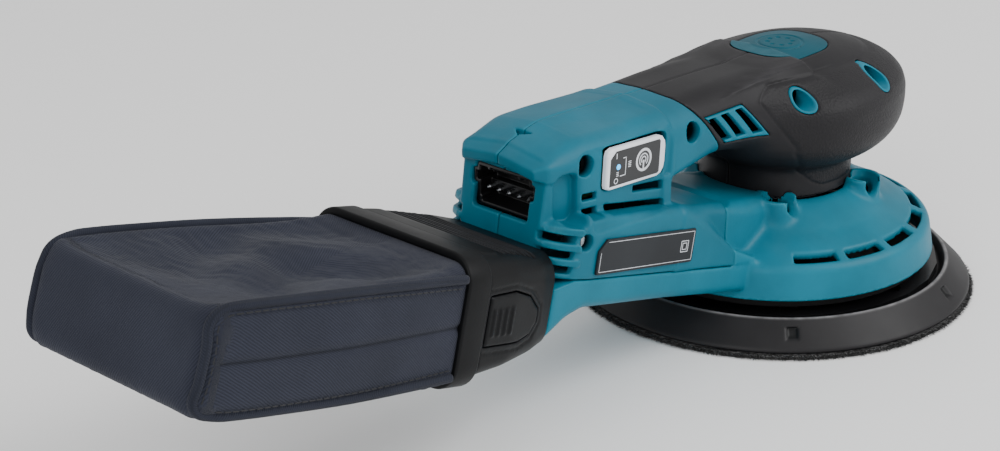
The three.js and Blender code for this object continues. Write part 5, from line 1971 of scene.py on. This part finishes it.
@dataclass
class Adapter:
    """The moulded adapter behind the outlet, its two latches and the collar that grips the bag."""

    grid: Grid = field(default_factory=lambda: Grid((-203, 0.0, 22), (-149, 36.5, 83), FINE))

    def form(self) -> Array:
        """Makes the flared body, with fine grooves across its top and a shallow step before the collar.

        Returns:
            The field.
        """
        g = self.grid
        body = section(g.u, g.w, g.v, ADAPTER_TABLE, 1.5)
        nearest = g.u - 173.2 - 2.5 * np.clip(np.round((g.u - 173.2) / 2.5), 0, 6)
        grooves = np.maximum(np.abs(nearest) - 0.62, np.maximum(16 - g.v, g.w - 26.0))
        body = body + 1.2 * swelling(grooves, 0.6)
        panel = np.maximum(rounded(g.u - 195.6, g.w, 4.4, 27, 2), 14 - g.v)
        return body - 0.5 * swelling(panel, 1.2)

    def window(self, grow: float) -> Array:
        """Field of the latch's opening in the flank: a box with its front corners cut off."""
        return np.maximum(convex(self.grid.u, self.grid.v, LATCH_OUTLINE) - grow, 22 - self.grid.w)

    def build(self) -> None:
        """Makes the adapter, both latches and the collar."""
        g = self.grid
        form, plain = self.form(), section(g.u, g.w, g.v, ADAPTER_TABLE, 1.5)
        shade = np.maximum(-plain - 1.2, (form - plain) * 2.5)
        lip = np.abs(convex(g.u, g.v, LATCH_OUTLINE) - 1.9) - 0.45
        solid = form + 0.45 * swelling(np.maximum(lip, 22 - g.w), 0.8)
        shell = np.maximum(solid, -(form + WALL))
        shell = common(carve(shell, self.window(0.0), 0.6), between(g.u, 161.4, 201), 0.5)
        adapter = field_piece("dust_adapter", shell, g, None, {"depth": shade})
        finish_piece(adapter, BLACK, Body.BAG, "dust_adapter")
        ridges = g.u - 187.2 - 3.1 * np.clip(np.round((g.u - 187.2) / 3.1), 0, 3)
        ridge = np.maximum(np.abs(ridges) - 0.7, np.abs(g.v - 7.4) - 4.4)
        for side, body in ((Side.RIGHT, Body.LATCH_RIGHT), (Side.LEFT, Body.LATCH_LEFT)):
            latch = np.maximum(form - 0.3 - 0.6 * swelling(ridge, 0.9), -(form + WALL - 0.2))
            latch = common(latch, self.window(-0.3), 0.9)
            name = f"bag_latch_{side.name.lower()}"
            finish_piece(field_piece(name, latch, g, side, {}), BLACK, body, name)
        self.collar()

    def collar(self) -> None:
        """Collar: a flat band with rounded edges carried round a rounded rectangle."""
        across, up = ring_coordinates(240, np.array([33.7]), np.array([-13.3]), np.array([27.7]), 8.0)
        path = duct_place(np.full(240, 206.4), across[0], up[0])
        middle = duct_place(np.full(240, 206.4), across[0] * 0.6, 7.2 + (up[0] - 7.2) * 0.4)
        profile = rounded_outline(1.5, 5.1, 0.9, 5)
        piece = sweep("bag_collar", path, path - middle, profile, True)
        finish_piece(piece, BLACK, Body.BAG, "bag_collar")


# ---------- pieces that keep their CAD solids ----------

CAD_NODES = {
    BLACK_SCREW: ("tail_screw_rear", "tail_screw_front", "palm_screw_rear", "palm_screw_front"),
    STEEL: ("tail_screw_lower", *(f"contact_pin_{number}" for number in range(1, 6)), "lower_bearing",
            "upper_bearing", "motor_shaft", "drive_collar", "pad_bearing", "pad_spindle", "pad_stud"),
    DARK_STEEL: ("capacitor_bank", "motor_can", "rotor", "counterweight"),
    INNER_BLACK: ("tact_switch", "fan", "pad_backing_plate"),
    ALUMINIUM: ("motor_bracket", "bearing_cap"),
    BOARD: ("control_board",),
    COPPER: ("stator",),
    BRAKE: ("brake_ring",),
}


def dress_cad() -> None:
    """Gives every CAD node that is still shown its own finish."""
    for finish, names in CAD_NODES.items():
        for name in names:
            finish.dress(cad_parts[name])


# ---------- studio ----------


@dataclass
class Studio:
    """Pale floor, soft lights and the camera."""

    place: tuple[float, float, float] = (-0.6689, -0.4872, 0.3602)
    azimuth: float = math.radians(-46.82)
    elevation: float = math.radians(22.45)
    lens: float = 84.64

    def floor(self) -> None:
        """Wide pale floor just under the pad."""
        size = 6.0
        data = bpy.data.meshes.new("floor")
        corners = [(-size, -size, 0), (size, -size, 0), (size, size, 0), (-size, size, 0)]
        data.from_pydata(corners, [], [(0, 1, 2, 3)])
        floor = bpy.data.objects.new("floor", data)
        bpy.context.scene.collection.objects.link(floor)
        made = bpy.data.materials.new("pale_floor")
        made.use_nodes = True
        tree = Tree(made.node_tree)
        shader = made.node_tree.nodes["Principled BSDF"]
        place = tree.add("TexCoord").outputs["Object"]
        pale = tree.mix(tree.noise(place, 3.0), (0.93, 0.93, 0.93, 1), (0.95, 0.95, 0.95, 1))
        tree.feed(shader.inputs["Base Color"], pale)
        shader.inputs["Roughness"].default_value = 0.7
        data.materials.append(made)

    def lamp(self, name: str, place: tuple[float, float, float], size: float, power: float) -> None:
        """Hangs a square soft light, aimed at the sander's middle.

        Args:
            name: its name.
            place: where it hangs, in metres.
            size: its side.
            power: its power in watts.
        """
        light = bpy.data.lights.new(name, "AREA")
        light.shape, light.size, light.energy = "SQUARE", size, power
        lamp = bpy.data.objects.new(name, light)
        lamp.location = place
        lamp.rotation_mode = "QUATERNION"
        lamp.rotation_quaternion = (Vector((-0.1, 0, 0.05)) - Vector(place)).to_track_quat("-Z", "Y")
        bpy.context.scene.collection.objects.link(lamp)

    def build(self) -> None:
        """Makes the floor, the lights, the surrounding light and the camera."""
        self.floor()
        self.lamp("key", (0.45, -0.95, 0.95), 0.9, 15.0)
        self.lamp("top", (0.2, 0.5, 1.4), 1.2, 2.5)
        self.lamp("near", (-1.2, -0.35, 0.7), 0.8, 6.5)
        world = bpy.data.worlds.new("studio")
        world.use_nodes = True
        world.node_tree.nodes["Background"].inputs["Color"].default_value = (1, 1, 1, 1)
        world.node_tree.nodes["Background"].inputs["Strength"].default_value = 0.72
        bpy.context.scene.world = world
        camera = bpy.data.objects.new("camera", bpy.data.cameras.new("camera"))
        camera.data.lens, camera.data.sensor_width = self.lens, 36.0
        camera.data.clip_start, camera.data.clip_end = 0.01, 50.0
        a, e = self.azimuth, self.elevation
        back = Vector((math.sin(a) * math.cos(e), -math.cos(a) * math.cos(e), math.sin(e)))
        camera.location = self.place
        camera.rotation_mode = "QUATERNION"
        camera.rotation_quaternion = (-back).to_track_quat("-Z", "Y")
        bpy.context.scene.collection.objects.link(camera)
        bpy.context.scene.camera = camera


def main() -> None:
    """Builds every sub-assembly in order."""
    logging.basicConfig(level=logging.INFO, format="%(message)s")
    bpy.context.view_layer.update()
    for assembly in (GripShells(), TailShells(), Shroud(), Inlet(), SwitchPlate(), RatingPlate(), Pad(),
                     Adapter(), DustBag()):
        log.info("building %s", type(assembly).__name__)
        assembly.build()
    dress_cad()
    Studio().build()


if __name__ == "__main__":
    main()
